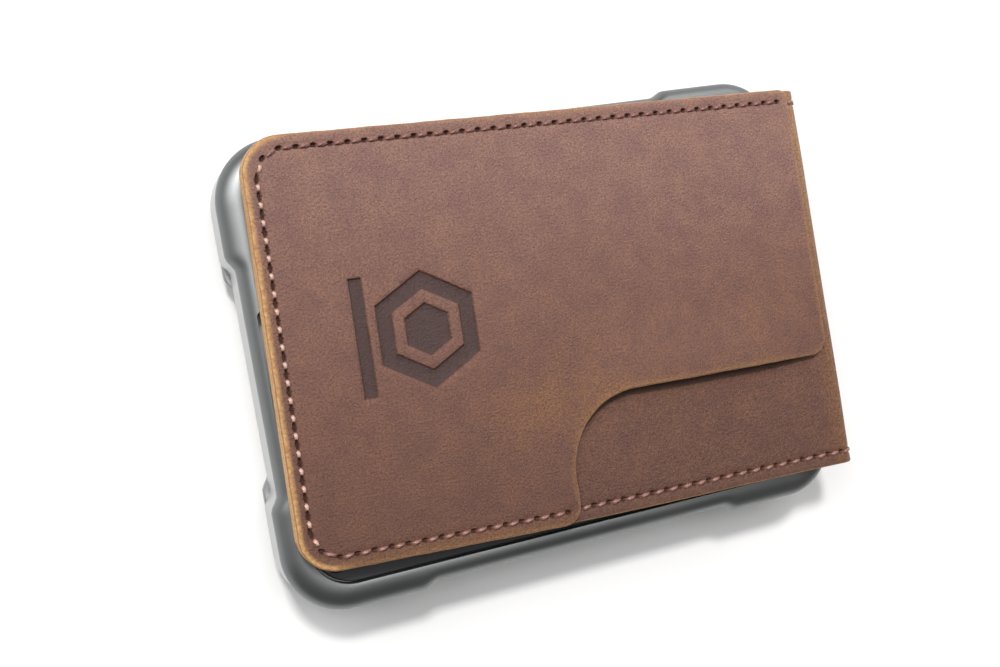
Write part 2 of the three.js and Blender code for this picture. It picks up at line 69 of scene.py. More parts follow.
# Card case
SIDE_DIP = 1.0
SIDE_DIP_HALF = 26.3
END_DIP = 1.2
END_DIP_HALF = 17.7
STEP_RUN = 2.6
BACK_BUMPER_EXTRA = 2.6
CASE_CORNER = 9.5
RIM_WIDTH = 4.0
RIM_CROWN = 0.7
FRONT_SKIRT = 0.6
RIM_EDGE_BEVEL = 0.15
PLATE_CORNER = 6.3
PLATE_CLEARANCE = 0.2
PLATE_BEVEL = 0.15
LEDGE_WIDTH = 3.3
NOTCH_HALF = 10.5
NOTCH_DEPTH = 1.4
NOTCH_CORNER = 1.2
THUMB_SLOT_LENGTH = 24
CARD_SPACE_HALF = 28
CARD_SPACE_START = 4.85         # from the closed end of the case to the card space
CARD_SPACE_CORNER = 1.0
BAND_INSET = 0.2
SEAM_BEVEL = 0.28               # bevel along the joint between the case's layers
BACK_ROUNDING = 2.0
TRAY_FLOOR = 1.2
TRAY_INSET = 0.45
SIDE_SPACING = 0.7              # between outline points along the straight sides
CORNER_STEPS = 14
ROUND_STEPS = 12
CUTTER_OVERRUN = 12             # how far the slot's cutter runs out past the plate

# Turned screws as (radius, depth below the head's face, hexagonal); a depth of None is the shank's end
SMALL_SCREW = [(0.62, 0.55, True), (0.66, 0.04, True), (0.72, 0, True), (1.40, 0, False),
               (1.48, 0.06, False), (0.8, 0.75, False), (0.8, None, False)]
WIDE_SCREW = [(1.05, 0.6, True), (1.1, 0.05, True), (1.2, 0, True), (2.85, 0, False),
              (3.08, 0.08, False), (3.18, 0.28, False), (3.18, 0.70, False), (1.2, 0.7, False),
              (1.2, None, False)]
COUNTERSINK = [(0.9, -3.0, False), (0.9, -0.8, False), (1.56, 0, False), (1.56, 1.0, False)]
SCREW_SIDES = 48

# Leather
SPINE_OUTER = 47.4
FOLD_RADIUS = 2.6
WRAP_LEFT = -47.8
WRAP_HALF = 31.6
WRAP_CORNER = 5.7
BACK_LEFT = -44.8
LEATHER = 1.5
LEATHER_EDGE = 0.26             # rounding along the cut edges
PANEL_RIGHT = 44.2
PANEL_SMALL_CORNER = 3.0
CUT_LEVEL = -12.8
CUT_LEFT = -4.0
CUT_RADIUS = 12.0
CUT_LIFT = 1.05                 # how far the pocket's free edge stands off the cover
CUT_LIFT_REACH = 11.0
COVER_SHADE = 0.9               # painted shade: the cover, the lower layer, drawn a tenth darker than the pocket panel
SPLAY = 0.019                   # how far off square the wrap's folded edge runs
FLARE = 0.014                   # how much wider its lower half is at the folded edge
BOW = 0.018                     # how much its lower edge bows out between the ends
PATTERN_SHIFT = (130, 20, 3.0)  # moves the wrap's grain away from the panel's

# Lining
LINING_INSET = 4.2
LINING_RIGHT = 38.0
LINING_CORNER = 2.0
MAGNET_BULGE = 0.14
MAGNET_FLAT = 4.2               # radius of the bulge over a magnet, and where it has died away
MAGNET_FADE = 5.8

# Stitching
PITCH = 2.55
SEAM_INSET = 2.0
ROW_HOLES = 34
COLUMN_HOLES = 21
CORNER_HOLE = (1.2, -1.25)      # a corner's hole, from where the two lines of holes would meet
HOLE_HALF = (0.50, 0.33)
SLIT_HALF = (0.80, 0.22)        # the holes along the left edge are long and narrow
PIT_DEPTH = 0.6
GROOVE_DEPTH = 0.16
GROOVE_WIDTH = 0.62
THREAD_RADIUS = 0.27
THREAD_PLY = 0.05
THREAD_TWIST = 7.5
THREAD_SINK = 0.05
THREAD_PAINTED_HIGHLIGHT = 0.75              # painted highlight: how much paler the thread is drawn along the left edge
STITCH_RISE = 0.16
STITCH_DIVE = 0.85
STITCH_SLANT = 0.14
STITCH_TUCK = 0.18              # share of a stitch that each hole swallows
SLIT_TUCK = 0.34
BACK_FLATTENING = 0.45          # the back's stitches are flatter and lie in the groove
BACK_SINK = 0.42
STRAND_STEPS = 13
STRAND_SIDES = 10

# Pressed ornament: a hexagon ring round a small solid hexagon, with a bar beside it
MARK_X = -24.0
MARK_Y = 0.9
MARK_DEPTH = 0.5
MARK_WALL = 0.10
RING_OUTER = 7.6
RING_INNER = 5.2
CORE = 3.4
BAR_X = -34.0
BAR_HALF_WIDTH = 1.0
BAR_HALF_LENGTH = 8.8

# Distances between mesh points
OUTLINE_SPACING = 0.55
MARK_SPACING = 0.22
COARSE_GRID = 0.95
FINE_GRID = 0.36
UNDER_GRID = 2.4
LINING_GRID = 1.1
GRID_JITTER = 0.18              # as a share of the spacing

# Studio, in metres and degrees. Lights are (name, place, target, size, power, colour)
STUDIO_SIZE = 2.6
WHITE = (1, 1, 1)
LIGHTS = [
    ("key", (-0.17, 0.49, 0.86), (0, 0, 0), (0.12, 0.10), 6.7, (1.0, 0.99, 0.965)),
    ("overhead", (0.04, 0.16, 0.95), (0, 0, 0), (0.55, 0.42), 2.7, WHITE),
    ("upper_left", (-0.52, 0.42, 0.72), (-0.02, 0.01, 0.01), (0.5, 0.4), 3.5, WHITE),
    ("left_card", (-0.95, 0.10, 0.34), (0, 0.01, 0.01), (0.9, 0.5), 0.8, WHITE),
    ("upper_right", (0.62, 0.74, 0.48), (0.02, 0.01, 0.01), (0.7, 0.45), 3.1, WHITE),
]
ROOM_COLOUR = (1.0, 0.985, 0.94, 1)
ROOM_STRENGTH = 0.16
TABLE_HALF = 9.0
TABLE_DROP = 0.0001
CAMERA_PLACE = (-0.0754, 0.0054, 0.1918)
CAMERA_TURN = (2.306, -19.988, -10.771)
CAMERA_LENS = 44.1
CAMERA_SENSOR = 36

rng = np.random.default_rng(7)


# ---- places taken from the frame

def box_mm(node):
    low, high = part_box(node)
    return np.array(low) / MM, np.array(high) / MM


def middle_mm(node):
    low, high = box_mm(node)
    return (low + high) / 2


shell_low, shell_high = box_mm("front_shell")
tray_low, tray_high = box_mm("back_shell")
plate_low, plate_high = box_mm("front_plate")
pocket_low, pocket_high = box_mm("pocket_panel")
lining_low, lining_high = box_mm("cover_lining")

CASE_CENTRE = (shell_low + shell_high)[:2] / 2
CASE_HALF_X = (shell_high - shell_low)[0] / 2
CASE_HALF_Y = (shell_high - shell_low)[1] / 2
COVER_TOP = box_mm("cover_leather")[1][2]
POCKET_TOP = pocket_high[2]
POCKET_BOTTOM = pocket_low[2]

cover_joint = [joint for joint in frame["joints"] if joint["name"] == "cover_fold"][0]
hinge = np.array(cover_joint["pos_m"]) / MM
SKEW = math.atan2(-cover_joint["axis"][0], cover_joint["axis"][1])
FOLD_X = SPINE_OUTER - FOLD_RADIUS
WRAP_TURN = np.array([[math.cos(SKEW), -math.sin(SKEW)], [math.sin(SKEW), math.cos(SKEW)]])
WRAP_ORIGIN = hinge[:2] - WRAP_TURN @ np.array([FOLD_X, 0])


def wrap_to_part(points):
    along = np.clip((points[:, 0] - WRAP_LEFT) / (SPINE_OUTER - WRAP_LEFT), 0, 1)
    lower = np.minimum(points[:, 1], 0)
    stretch = FLARE * along ** 2 + BOW * np.sin(math.pi * along) ** 2
    splayed = points[:, :2] + np.column_stack([-SPLAY * along ** 2 * points[:, 1], stretch * lower])
    flat = splayed @ WRAP_TURN.T + WRAP_ORIGIN
    return np.column_stack([flat, points[:, 2]])


def case_to_part(points):
    return points + np.append(CASE_CENTRE, 0)


# ---- meshes

def smoothstep(low, high, value):
    part = np.clip((value - low) / (high - low), 0, 1)
    return part * part * (3 - 2 * part)


def unit(vectors):
    return vectors / np.linalg.norm(vectors, axis=-1, keepdims=True)


def add_object(name, data):
    obj = bpy.data.objects.new(name, data)
    bpy.context.scene.collection.objects.link(obj)
    return obj


def build(name, points, faces, material, fields=None, sharp=38, merge=False):
    """A smooth-shaded object from points in millimetres, in the part's frame; merge joins equal points."""
    mesh = bpy.data.meshes.new(name)
    mesh.from_pydata((points * MM).tolist(), [], faces)
    for field, values in (fields or {}).items():
        values = np.asarray(values, np.float32)
        kind = "FLOAT_VECTOR" if values.ndim == 2 else "FLOAT"
        attribute = mesh.attributes.new(field, kind, "POINT")
        attribute.data.foreach_set("vector" if values.ndim == 2 else "value", values.ravel())
    shape = bmesh.new()
    shape.from_mesh(mesh)
    if merge:
        bmesh.ops.remove_doubles(shape, verts=shape.verts, dist=1e-7)
    bmesh.ops.recalc_face_normals(shape, faces=shape.faces)
    shape.to_mesh(mesh)
    shape.free()
    mesh.shade_smooth()
    mesh.set_sharp_from_angle(angle=math.radians(sharp))
    mesh.materials.append(material)
    return add_object(name, mesh)


def declare(obj, body, slot, *nodes):
    """Gives a piece its body and hides the CAD nodes that it stands for; slot is not used."""
    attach(obj, body)
    if nodes:
        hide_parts(*nodes)


def band_faces(loops):
    """Faces between neighbouring closed loops of point numbers."""
    faces = []
    for upper, lower in zip(loops[:-1], loops[1:]):
        for k in range(len(upper)):
            n = (k + 1) % len(upper)
            faces.append((upper[k], upper[n], lower[n], lower[k]))
    return faces


def loft(rings, capped=True):
    """Points and faces of a tube through rings of equal length, with its ends closed if capped."""
    count = len(rings[0])
    loops = [list(range(row * count, (row + 1) * count)) for row in range(len(rings))]
    faces = band_faces(loops)
    if capped:
        faces += [tuple(loops[0]), tuple(loops[-1])]
    return np.concatenate(rings), faces


def carve(obj, cutters):
    """Cuts the cutters out of obj and removes them."""
    for cutter in cutters:
        cut = obj.modifiers.new("cut", "BOOLEAN")
        cut.operation = "DIFFERENCE"
        cut.solver = "EXACT"
        cut.object = cutter
    graph = bpy.context.evaluated_depsgraph_get()
    carved = bpy.data.meshes.new_from_object(obj.evaluated_get(graph))
    obj.modifiers.clear()
    obj.data = carved
    for cutter in cutters:
        bpy.data.objects.remove(cutter)
    carved.shade_smooth()
    carved.set_sharp_from_angle(angle=math.radians(30))


def arc(centre, radius, start, end, steps):
    turns = np.radians(np.linspace(start, end, steps + 1))
    return np.column_stack([centre[0] + radius * np.cos(turns), centre[1] + radius * np.sin(turns)])


def rounded_rectangle(x0, x1, y0, y1, corner, steps):
    return np.concatenate([
        arc((x1 - corner, y0 + corner), corner, -90, 0, steps),
        arc((x1 - corner, y1 - corner), corner, 0, 90, steps),
        arc((x0 + corner, y1 - corner), corner, 90, 180, steps),
        arc((x0 + corner, y0 + corner), corner, 180, 270, steps),
    ])


def at_height(outline, z):
    return np.column_stack([outline, np.full(len(outline), z)])


def resampled(outline, spacing):
    """The closed outline with its long stretches divided into steps of about spacing."""
    points = []
    for a, b in zip(outline, np.roll(outline, -1, axis=0)):
        steps = max(1, round(float(np.linalg.norm(b - a)) / spacing))
        points.extend(a + (b - a) * k / steps for k in range(steps))
    return np.array(points)


def normals_2d(outline):
    """Outward unit normals at the points of an anticlockwise outline."""
    ahead = unit(np.roll(outline, -1, axis=0) - np.roll(outline, 1, axis=0))
    return np.column_stack([ahead[:, 1], -ahead[:, 0]])


def inside(outline, points):
    """Which points lie inside the closed outline."""
    result = np.zeros(len(points), bool)
    for (ax, ay), (bx, by) in zip(outline, np.roll(outline, -1, axis=0)):
        if ay == by:
            continue
        crosses = (points[:, 1] < ay) != (points[:, 1] < by)
        at = ax + (points[:, 1] - ay) * (bx - ax) / (by - ay)
        result ^= crosses & (points[:, 0] < at)
    return result


def distance_to(outline, points):
    """Distance of each point from the closed outline."""
    best = np.full(len(points), np.inf)
    for a, b in zip(outline, np.roll(outline, -1, axis=0)):
        along = b - a
        part = np.clip(((points - a) @ along) / (along @ along), 0, 1)
        near = a + part[:, None] * along
        best = np.minimum(best, np.linalg.norm(points - near, axis=1))
    return best


def grid(x0, x1, y0, y1, spacing):
    """Points over a rectangle, each moved a little at random."""
    xs = np.arange(x0, x1 + spacing / 2, spacing)
    ys = np.arange(y0, y1 + spacing / 2, spacing)
    points = np.array(np.meshgrid(xs, ys)).reshape(2, -1).T
    return points + rng.uniform(-GRID_JITTER, GRID_JITTER, points.shape) * spacing


def triangulated(boundary, points, keep_off):
    """Triangles over the inside of the boundary through the points that are at least keep_off from it."""
    kept = points[inside(boundary, points)]
    kept = kept[distance_to(boundary, kept) > keep_off]
    loop = list(range(len(boundary)))
    found = delaunay_2d_cdt([Vector(p) for p in np.concatenate([boundary, kept])], [], [loop], 1, 1e-5)
    return np.array([tuple(p) for p in found[0]]), [tuple(face) for face in found[2]]


def nearest_index(points, targets):
    """For each target, the index of the point that lies on it."""
    table = {(round(x, 4), round(y, 4)): i for i, (x, y) in enumerate(points)}
    return [table[(round(x, 4), round(y, 4))] for x, y in targets]


def waves(points, seed, size):
    """Gentle unevenness of a leather face."""
    random = np.random.default_rng(seed)
    total = np.zeros(len(points))
    for _ in range(9):
        direction = random.uniform(0, 2 * math.pi)
        length = random.uniform(9, 34)
        phase = random.uniform(0, 2 * math.pi)
        aim = np.array([math.cos(direction), math.sin(direction)]) * 2 * math.pi / length
        total += np.sin(points @ aim + phase) * length / 34
    return total * size / 3


# ---- materials

def linear(red, green, blue):
    """A colour given as 0 to 255 display values, in the linear values that shaders take."""
    parts = [c / 255 for c in (red, green, blue)]
    return tuple(c / 12.92 if c <= 0.04045 else ((c + 0.055) / 1.055) ** 2.4 for c in parts) + (1.0,)


def shaded(colour, factor):
    return tuple(min(1.0, c * factor) for c in colour[:3]) + (1.0,)


class Nodes:
    """A small helper that adds nodes to one material and links them."""

    def __init__(self, name):
        self.material = bpy.data.materials.new(name)
        self.material.use_nodes = True
        self.tree = self.material.node_tree
        self.shader = self.tree.nodes["Principled BSDF"]

    def add(self, kind, **settings):
        node = self.tree.nodes.new(kind)
        for key, value in settings.items():
            setattr(node, key, value)
        return node

    def plug(self, value, socket):
        if isinstance(value, bpy.types.NodeSocket):
            self.tree.links.new(value, socket)
        else:
            socket.default_value = value

    def field(self, name, output="Fac"):
        return self.add("ShaderNodeAttribute", attribute_name=name).outputs[output]

    def object_place(self):
        return self.add("ShaderNodeTexCoord").outputs["Object"]

    def noise(self, vector, scale, detail, roughness):
        node = self.add("ShaderNodeTexNoise")
        self.plug(vector, node.inputs["Vector"])
        node.inputs["Scale"].default_value = scale
        node.inputs["Detail"].default_value = detail
        node.inputs["Roughness"].default_value = roughness
        return node.outputs["Fac"]

    def stretched(self, vector, scale, turn=0.0):
        node = self.add("ShaderNodeMapping")
        self.plug(vector, node.inputs["Vector"])
        node.inputs["Scale"].default_value = scale
        node.inputs["Rotation"].default_value = (0, 0, math.radians(turn))
        return node.outputs["Vector"]

    def spread(self, value, low, high, out_low=0.0, out_high=1.0):
        node = self.add("ShaderNodeMapRange", interpolation_type="SMOOTHSTEP")
        self.plug(value, node.inputs["Value"])
        limits = {"From Min": low, "From Max": high, "To Min": out_low, "To Max": out_high}
        for key, number in limits.items():
            node.inputs[key].default_value = number
        return node.outputs["Result"]

    def math(self, operation, a, b):
        node = self.add("ShaderNodeMath", operation=operation)
        self.plug(a, node.inputs[0])
        self.plug(b, node.inputs[1])
        return node.outputs[0]

    def mix(self, factor, a, b, blend="MIX"):
        node = self.add("ShaderNodeMix", data_type="RGBA", blend_type=blend)
        self.plug(factor, node.inputs["Factor"])
        self.plug(a, node.inputs["A"])
        self.plug(b, node.inputs["B"])
        return node.outputs["Result"]

    def bump(self, height, strength, distance):
        node = self.add("ShaderNodeBump")
        self.plug(height, node.inputs["Height"])
        node.inputs["Strength"].default_value = strength
        node.inputs["Distance"].default_value = distance
        self.tree.links.new(node.outputs["Normal"], self.shader.inputs["Normal"])

    def weighted(self, *shares):
        """The sum of pairs of a value and its weight."""
        total = 0.0
        for value, weight in shares:
            total = self.math("ADD", self.math("MULTIPLY", value, weight), total)
        return total

    def finish(self, **sockets):
        """Sets or links the shader's sockets, named with _ for each space."""
        for key, value in sockets.items():
            self.plug(value, self.shader.inputs[key.replace("_", " ")])
        return self.material


def leather_material():
    """Waxed pull-up leather: plum brown with tan patches, raw tan at its cut edges."""
    n = Nodes("pull_up_leather")
    plum = linear(116, 80, 71)
    brown = linear(133, 95, 78)
    tan = linear(152, 110, 74)
    dark = linear(88, 60, 53)
    fleck = linear(206, 164, 140)
    pressed = linear(56, 40, 41)
    painted_hole_shade = linear(66, 32, 20)
    raw_dark = linear(186, 132, 76)
    raw_pale = linear(228, 184, 124)
    painted_shade_tint = (1.06, 0.92, 0.82, 1.0)
    painted_sheen_tint = (1.04, 1.12, 1.24, 1.0)
    place = n.field("flat", "Vector")
    blotch = n.noise(place, 0.045, 3, 0.55)
    mottle = n.noise(place, 0.22, 6, 0.62)
    cloud = n.noise(place, 0.55, 4, 0.6)
    pebble = n.noise(place, 1.7, 2, 0.5)
    grain = n.noise(place, 3.1, 4, 0.7)
    speck = n.noise(place, 5.5, 2, 0.5)
    streak = n.noise(n.stretched(place, (0.9, 0.16, 1), 4), 2.6, 3, 0.6)
    fibre = n.noise(n.stretched(n.field("wall", "Vector"), (0.7, 0.7, 5.0)), 2.2, 4, 0.65)
    tan_share = n.weighted((blotch, 0.62), (cloud, 0.38), (n.field("rub"), 0.3))
    colour = n.mix(n.spread(mottle, 0.3, 0.7), plum, brown)
    colour = n.mix(n.spread(tan_share, 0.52, 0.9), colour, tan)
    colour = n.mix(n.spread(streak, 0.5, 0.74, 0, 0.3), colour, dark)
    colour = n.mix(n.spread(grain, 0.38, 0.58, 0.75, 0), colour, dark)
    colour = n.mix(n.spread(speck, 0.6, 0.74, 0, 0.4), colour, fleck)
    # painted sheen and shade: cooler and greyer where the leather is painted paler, warmer and more
    # saturated where painted darker
    painted_light_tint = n.mix(n.spread(n.field("painted_shading"), 0.6, 1.35), painted_shade_tint, painted_sheen_tint)
    # painted light and shade: the colour scaled by a painted level of light
    colour = n.mix(1.0, colour, n.field("painted_shading", "Color"), "MULTIPLY")
    colour = n.mix(1.0, colour, painted_light_tint, "MULTIPLY")
    colour = n.mix(n.spread(n.field("mark"), 0.35, 1.0, 0, 0.85), colour, pressed)
    colour = n.mix(n.field("cut"), colour, n.mix(n.spread(fibre, 0.3, 0.7), raw_dark, raw_pale))
    # painted shade: the stitch holes drawn dark brown
    colour = n.mix(n.field("pit"), colour, painted_hole_shade)
    n.bump(n.weighted((grain, 0.9), (pebble, 0.35)), 1.0, 0.00028)
    return n.finish(Base_Color=colour, Roughness=n.spread(mottle, 0.3, 0.7, 0.44, 0.58),
                    Sheen_Weight=0.07, Sheen_Roughness=0.45, Sheen_Tint=linear(235, 205, 185))


def metal_material(name, colour, roughness, fleck=0.06):
    """Blasted and anodised or plated metal: satin, with a very fine grit."""
    n = Nodes(name)
    place = n.object_place()
    fine = n.noise(place, 4500, 2, 0.6)
    cloud = n.noise(place, 60, 3, 0.5)
    tone = n.mix(fine, shaded(colour, 1 - fleck), shaded(colour, 1 + fleck))
    n.bump(fine, 0.10, 0.00003)
    rough = n.spread(cloud, 0.3, 0.7, roughness - 0.03, roughness + 0.03)
    return n.finish(Base_Color=tone, Roughness=rough, Metallic=1.0)


def coated_material(name, colour, roughness):
    """Matte powder coat with a fine orange peel."""
    n = Nodes(name)
    place = n.object_place()
    peel = n.noise(place, 2600, 3, 0.55)
    tone = n.mix(n.noise(place, 180, 3, 0.5), shaded(colour, 0.8), colour)
    n.bump(peel, 0.35, 0.00004)
    rough = n.spread(peel, 0.3, 0.7, roughness - 0.05, roughness + 0.05)
    return n.finish(Base_Color=tone, Roughness=rough)


def brushed_material(name, colour, roughness, stretch):
    """Steel brushed along one direction."""
    n = Nodes(name)
    lines = n.noise(n.stretched(n.object_place(), stretch), 1500, 3, 0.6)
    n.bump(lines, 0.2, 0.00003)
    rough = n.spread(lines, 0.3, 0.7, roughness - 0.05, roughness + 0.08)
    return n.finish(Base_Color=n.mix(lines, shaded(colour, 0.85), colour), Roughness=rough, Metallic=1.0)


def thread_material():
    """Waxed, plied sewing thread."""
    n = Nodes("waxed_thread")
    place = n.object_place()
    fibre = n.noise(place, 5200, 3, 0.6)
    tone = n.mix(fibre, linear(98, 62, 56), linear(156, 112, 102))
    # painted highlight: the stitches along the left edge drawn paler, where their crests catch the light
    tone = n.mix(n.field("painted_highlight"), tone, linear(214, 178, 164))
    n.bump(fibre, 0.3, 0.00004)
    return n.finish(Base_Color=tone, Roughness=n.spread(fibre, 0.3, 0.7, 0.36, 0.5),
                    Coat_Weight=0.35, Coat_Roughness=0.22)


def lining_material():
    """Short black microfibre nap."""
    n = Nodes("microfibre")
    place = n.object_place()
    nap = n.noise(place, 4200, 4, 0.7)
    cloud = n.noise(place, 90, 4, 0.6)
    tone = n.mix(nap, linear(24, 20, 19), linear(56, 48, 45))
    tone = n.mix(n.spread(cloud, 0.35, 0.7, 0, 0.4), tone, linear(70, 62, 58))
    n.bump(nap, 0.5, 0.0001)
    return n.finish(Base_Color=tone, Roughness=n.spread(cloud, 0.3, 0.7, 0.85, 0.97),
                    Sheen_Weight=0.5, Sheen_Roughness=0.4)


def table_material():
    """A smooth white table top, very slightly uneven in tone."""
    n = Nodes("white_table")
    place = n.object_place()
    cloud = n.noise(place, 3, 3, 0.5)
    tone = n.mix(cloud, linear(231, 231, 232), linear(238, 238, 239))
    return n.finish(Base_Color=tone, Roughness=n.spread(cloud, 0.3, 0.7, 0.5, 0.6))


LEATHER_LOOK = leather_material()
SHELL_LOOK = metal_material("gunmetal_anodised", (0.205, 0.212, 0.215, 1.0), 0.44)
BAND_LOOK = metal_material("grey_anodised", (0.50, 0.505, 0.505, 1.0), 0.40)
TRAY_LOOK = metal_material("tray_anodised", (0.42, 0.425, 0.425, 1.0), 0.42)
PLATE_LOOK = coated_material("black_powder_coat", (0.018, 0.019, 0.021, 1.0), 0.5)
SCREW_LOOK = metal_material("black_oxide", (0.05, 0.05, 0.052, 1.0), 0.38)
STEEL_LOOK = brushed_material("brushed_steel", (0.55, 0.55, 0.54, 1.0), 0.3, (0.06, 1, 1))
NICKEL_LOOK = metal_material("nickel_plate", (0.66, 0.65, 0.63, 1.0), 0.2, 0.03)
THREAD_LOOK = thread_material()
LINING_LOOK = lining_material()


# ---- card case

def side_points(reach, half, depth):
    """Places along one side and how far it dips in at each, with a soft step at both ends."""
    along = np.linspace(-reach, reach, round(2 * reach / SIDE_SPACING) + 1)
    part = np.clip((half + STEP_RUN / 2 - np.abs(along)) / STEP_RUN, 0, 1)
    dip = depth * (1 - np.cos(np.pi * part)) / 2
    return along, dip


def case_outline(inset=0.0, side_dip=SIDE_DIP, end_dip=END_DIP, extra=0.0, corner=None):
    """The case's outline, inset from its outer edge, anticlockwise. All have the same number of points."""
    radius = CASE_CORNER - inset if corner is None else corner
    half_x = CASE_HALF_X - inset
    half_y = CASE_HALF_Y - inset
    side, side_in = side_points(CASE_HALF_X - CASE_CORNER - LEDGE_WIDTH, SIDE_DIP_HALF - extra, side_dip)
    end, end_in = side_points(CASE_HALF_Y - CASE_CORNER - LEDGE_WIDTH, END_DIP_HALF - extra, end_dip)
    cx = half_x - radius
    cy = half_y - radius
    return np.concatenate([
        arc((cx, -cy), radius, -90, 0, CORNER_STEPS),
        np.column_stack([half_x - end_in, end]),
        arc((cx, cy), radius, 0, 90, CORNER_STEPS),
        np.column_stack([-side, half_y - side_in]),
        arc((-cx, cy), radius, 90, 180, CORNER_STEPS),
        np.column_stack([-half_x + end_in, -end]),
        arc((-cx, -cy), radius, 180, 270, CORNER_STEPS),
        np.column_stack([side, -half_y + side_in]),
    ])


def straight_outline(inset):
    return case_outline(inset, 0.0, 0.0, 0.0, PLATE_CORNER)


def slab(outline, inset, bevel, low, high):
    """A flat layer of the case with bevelled edges; outline gives its edge at an inset."""
    steps = ((bevel, low), (0, low + bevel), (0, high - bevel), (bevel, high))
    points, faces = loft([at_height(outline(inset + back), z) for back, z in steps])
    return case_to_part(points), faces


def rounded_box(name, x0, x1, y0, y1, z0, z1, corner):
    """A cutting block in the case's frame, with its upright edges rounded."""
    outline = rounded_rectangle(x0, x1, y0, y1, corner, 8)
    points, faces = loft([at_height(outline, z0), at_height(outline, z1)])
    return build(name, case_to_part(points), faces, PLATE_LOOK)


def make_front_shell():
    bottom = shell_low[2]
    top = shell_high[2]
    rounding = RIM_WIDTH - RIM_CROWN
    rise = top - bottom - FRONT_SKIRT
    rings = [
        at_height(case_outline(RIM_EDGE_BEVEL), bottom),
        at_height(case_outline(), bottom + RIM_EDGE_BEVEL),
    ]
    for turn in np.linspace(0, math.pi / 2, ROUND_STEPS + 1):
        spread = math.cos(turn)
        outline = case_outline(rounding * (1 - spread), SIDE_DIP * spread, END_DIP * spread)
        rings.append(at_height(outline, bottom + FRONT_SKIRT + rise * math.sin(turn)))
    for turn in np.linspace(0, math.pi / 2, 4):
        inset = RIM_WIDTH - RIM_EDGE_BEVEL * (1 - math.sin(turn))
        drop = RIM_EDGE_BEVEL * (1 - math.cos(turn))
        rings.append(at_height(straight_outline(inset), top - drop))
    ledge = RIM_WIDTH + LEDGE_WIDTH
    rings.append(at_height(straight_outline(RIM_WIDTH), plate_low[2]))
    rings.append(at_height(straight_outline(ledge), plate_low[2]))
    rings.append(at_height(straight_outline(ledge), bottom))
    rings.append(rings[0])
    points, faces = loft(rings, False)
    shell = build("front_shell_finish", case_to_part(points), faces, SHELL_LOOK, merge=True)
    recess = -CASE_HALF_X + RIM_WIDTH
    notch = rounded_box("notch", recess - NOTCH_DEPTH, recess + LEDGE_WIDTH + 2, -NOTCH_HALF, NOTCH_HALF,
                        bottom - 1, top + 1, NOTCH_CORNER)
    carve(shell, [notch])
    declare(shell, "case", "anodised_shell", "front_shell")


def make_band():
    low = tray_high[2]
    high = shell_low[2]
    points, faces = slab(case_outline, BAND_INSET, SEAM_BEVEL, low, high)
    band = build("middle_frame_finish", points, faces, BAND_LOOK)
    cards = rounded_box("cards", -CASE_HALF_X + CARD_SPACE_START, CASE_HALF_X + 6, -CARD_SPACE_HALF,
                        CARD_SPACE_HALF, low - 1, high + 1, CARD_SPACE_CORNER)
    carve(band, [cards])
    declare(band, "case", "frame_band", "middle_frame")


def make_back_shell():
    low = tray_low[2]
    high = tray_high[2]
    wall = CASE_HALF_Y - CARD_SPACE_HALF
    rings = []
    for turn in np.linspace(0, math.pi / 2, ROUND_STEPS + 1):
        outline = case_outline(TRAY_INSET + BACK_ROUNDING * (1 - math.sin(turn)), extra=BACK_BUMPER_EXTRA)
        rings.append(at_height(outline, low + BACK_ROUNDING * (1 - math.cos(turn))))
    rings.append(at_height(case_outline(TRAY_INSET, extra=BACK_BUMPER_EXTRA), high - SEAM_BEVEL))
    rings.append(at_height(case_outline(TRAY_INSET + SEAM_BEVEL, extra=BACK_BUMPER_EXTRA), high))
    rings.append(at_height(straight_outline(wall), high))
    rings.append(at_height(straight_outline(wall), low + TRAY_FLOOR))
    points, faces = loft(rings)
    tray = build("back_shell_finish", case_to_part(points), faces, TRAY_LOOK)
    declare(tray, "case", "anodised_shell", "back_shell")


def screw_rings(steps):
    """Rings of a turned shape with a hexagon socket: steps are (radius, height, hexagonal)."""
    turns = np.linspace(0, 2 * math.pi, SCREW_SIDES, endpoint=False)
    sixth = math.pi / 3
    flat = math.cos(sixth / 2) / np.cos(turns % sixth - sixth / 2)
    rings = []
    for radius, height, hexagonal in steps:
        reach = radius * (flat if hexagonal else 1.0)
        rings.append(at_height(np.column_stack([reach * np.cos(turns), reach * np.sin(turns)]), height))
    return rings


def make_screw(node, material, slot, head_down, steps):
    """A screw in place of a CAD one, turned upside down if its head faces down."""
    low, high = box_mm(node)
    x, y = middle_mm(node)[:2]
    face = low[2] if head_down else high[2]
    length = high[2] - low[2]
    whole = [(radius, length if depth is None else depth, six) for radius, depth, six in steps]
    points, faces = loft(screw_rings(whole))
    points = points * np.array([1, 1, 1 if head_down else -1]) + np.array([x, y, face])
    screw = build(node + "_finish", points, faces, material, sharp=28)
    declare(screw, "case", slot, node)


def make_screws():
    for i in range(1, 5):
        make_screw(f"plate_screw_{i}", SCREW_LOOK, "black_steel", False, SMALL_SCREW)
        make_screw(f"leather_screw_{i}", STEEL_LOOK, "bare_steel", True, WIDE_SCREW)


def make_plate():
    low = plate_low[2]
    high = plate_high[2]
    points, faces = slab(straight_outline, RIM_WIDTH + PLATE_CLEARANCE, PLATE_BEVEL, low, high)
    plate = build("front_plate_finish", points, faces, PLATE_LOOK)
    recess = -CASE_HALF_X + RIM_WIDTH
    slot = rounded_box("slot", recess - CUTTER_OVERRUN, recess + THUMB_SLOT_LENGTH, -NOTCH_HALF, NOTCH_HALF,
                       low - 1, high + 1, NOTCH_HALF - 0.01)
    cutters = [slot]
    for i in range(1, 5):
        x, y = middle_mm(f"plate_screw_{i}")[:2]
        points, faces = loft(screw_rings(COUNTERSINK))
        cutters.append(build("sink", points + np.array([x, y, high]), faces, PLATE_LOOK))
    carve(plate, cutters)
    declare(plate, "case", "black_steel", "front_plate")


# ---- seam

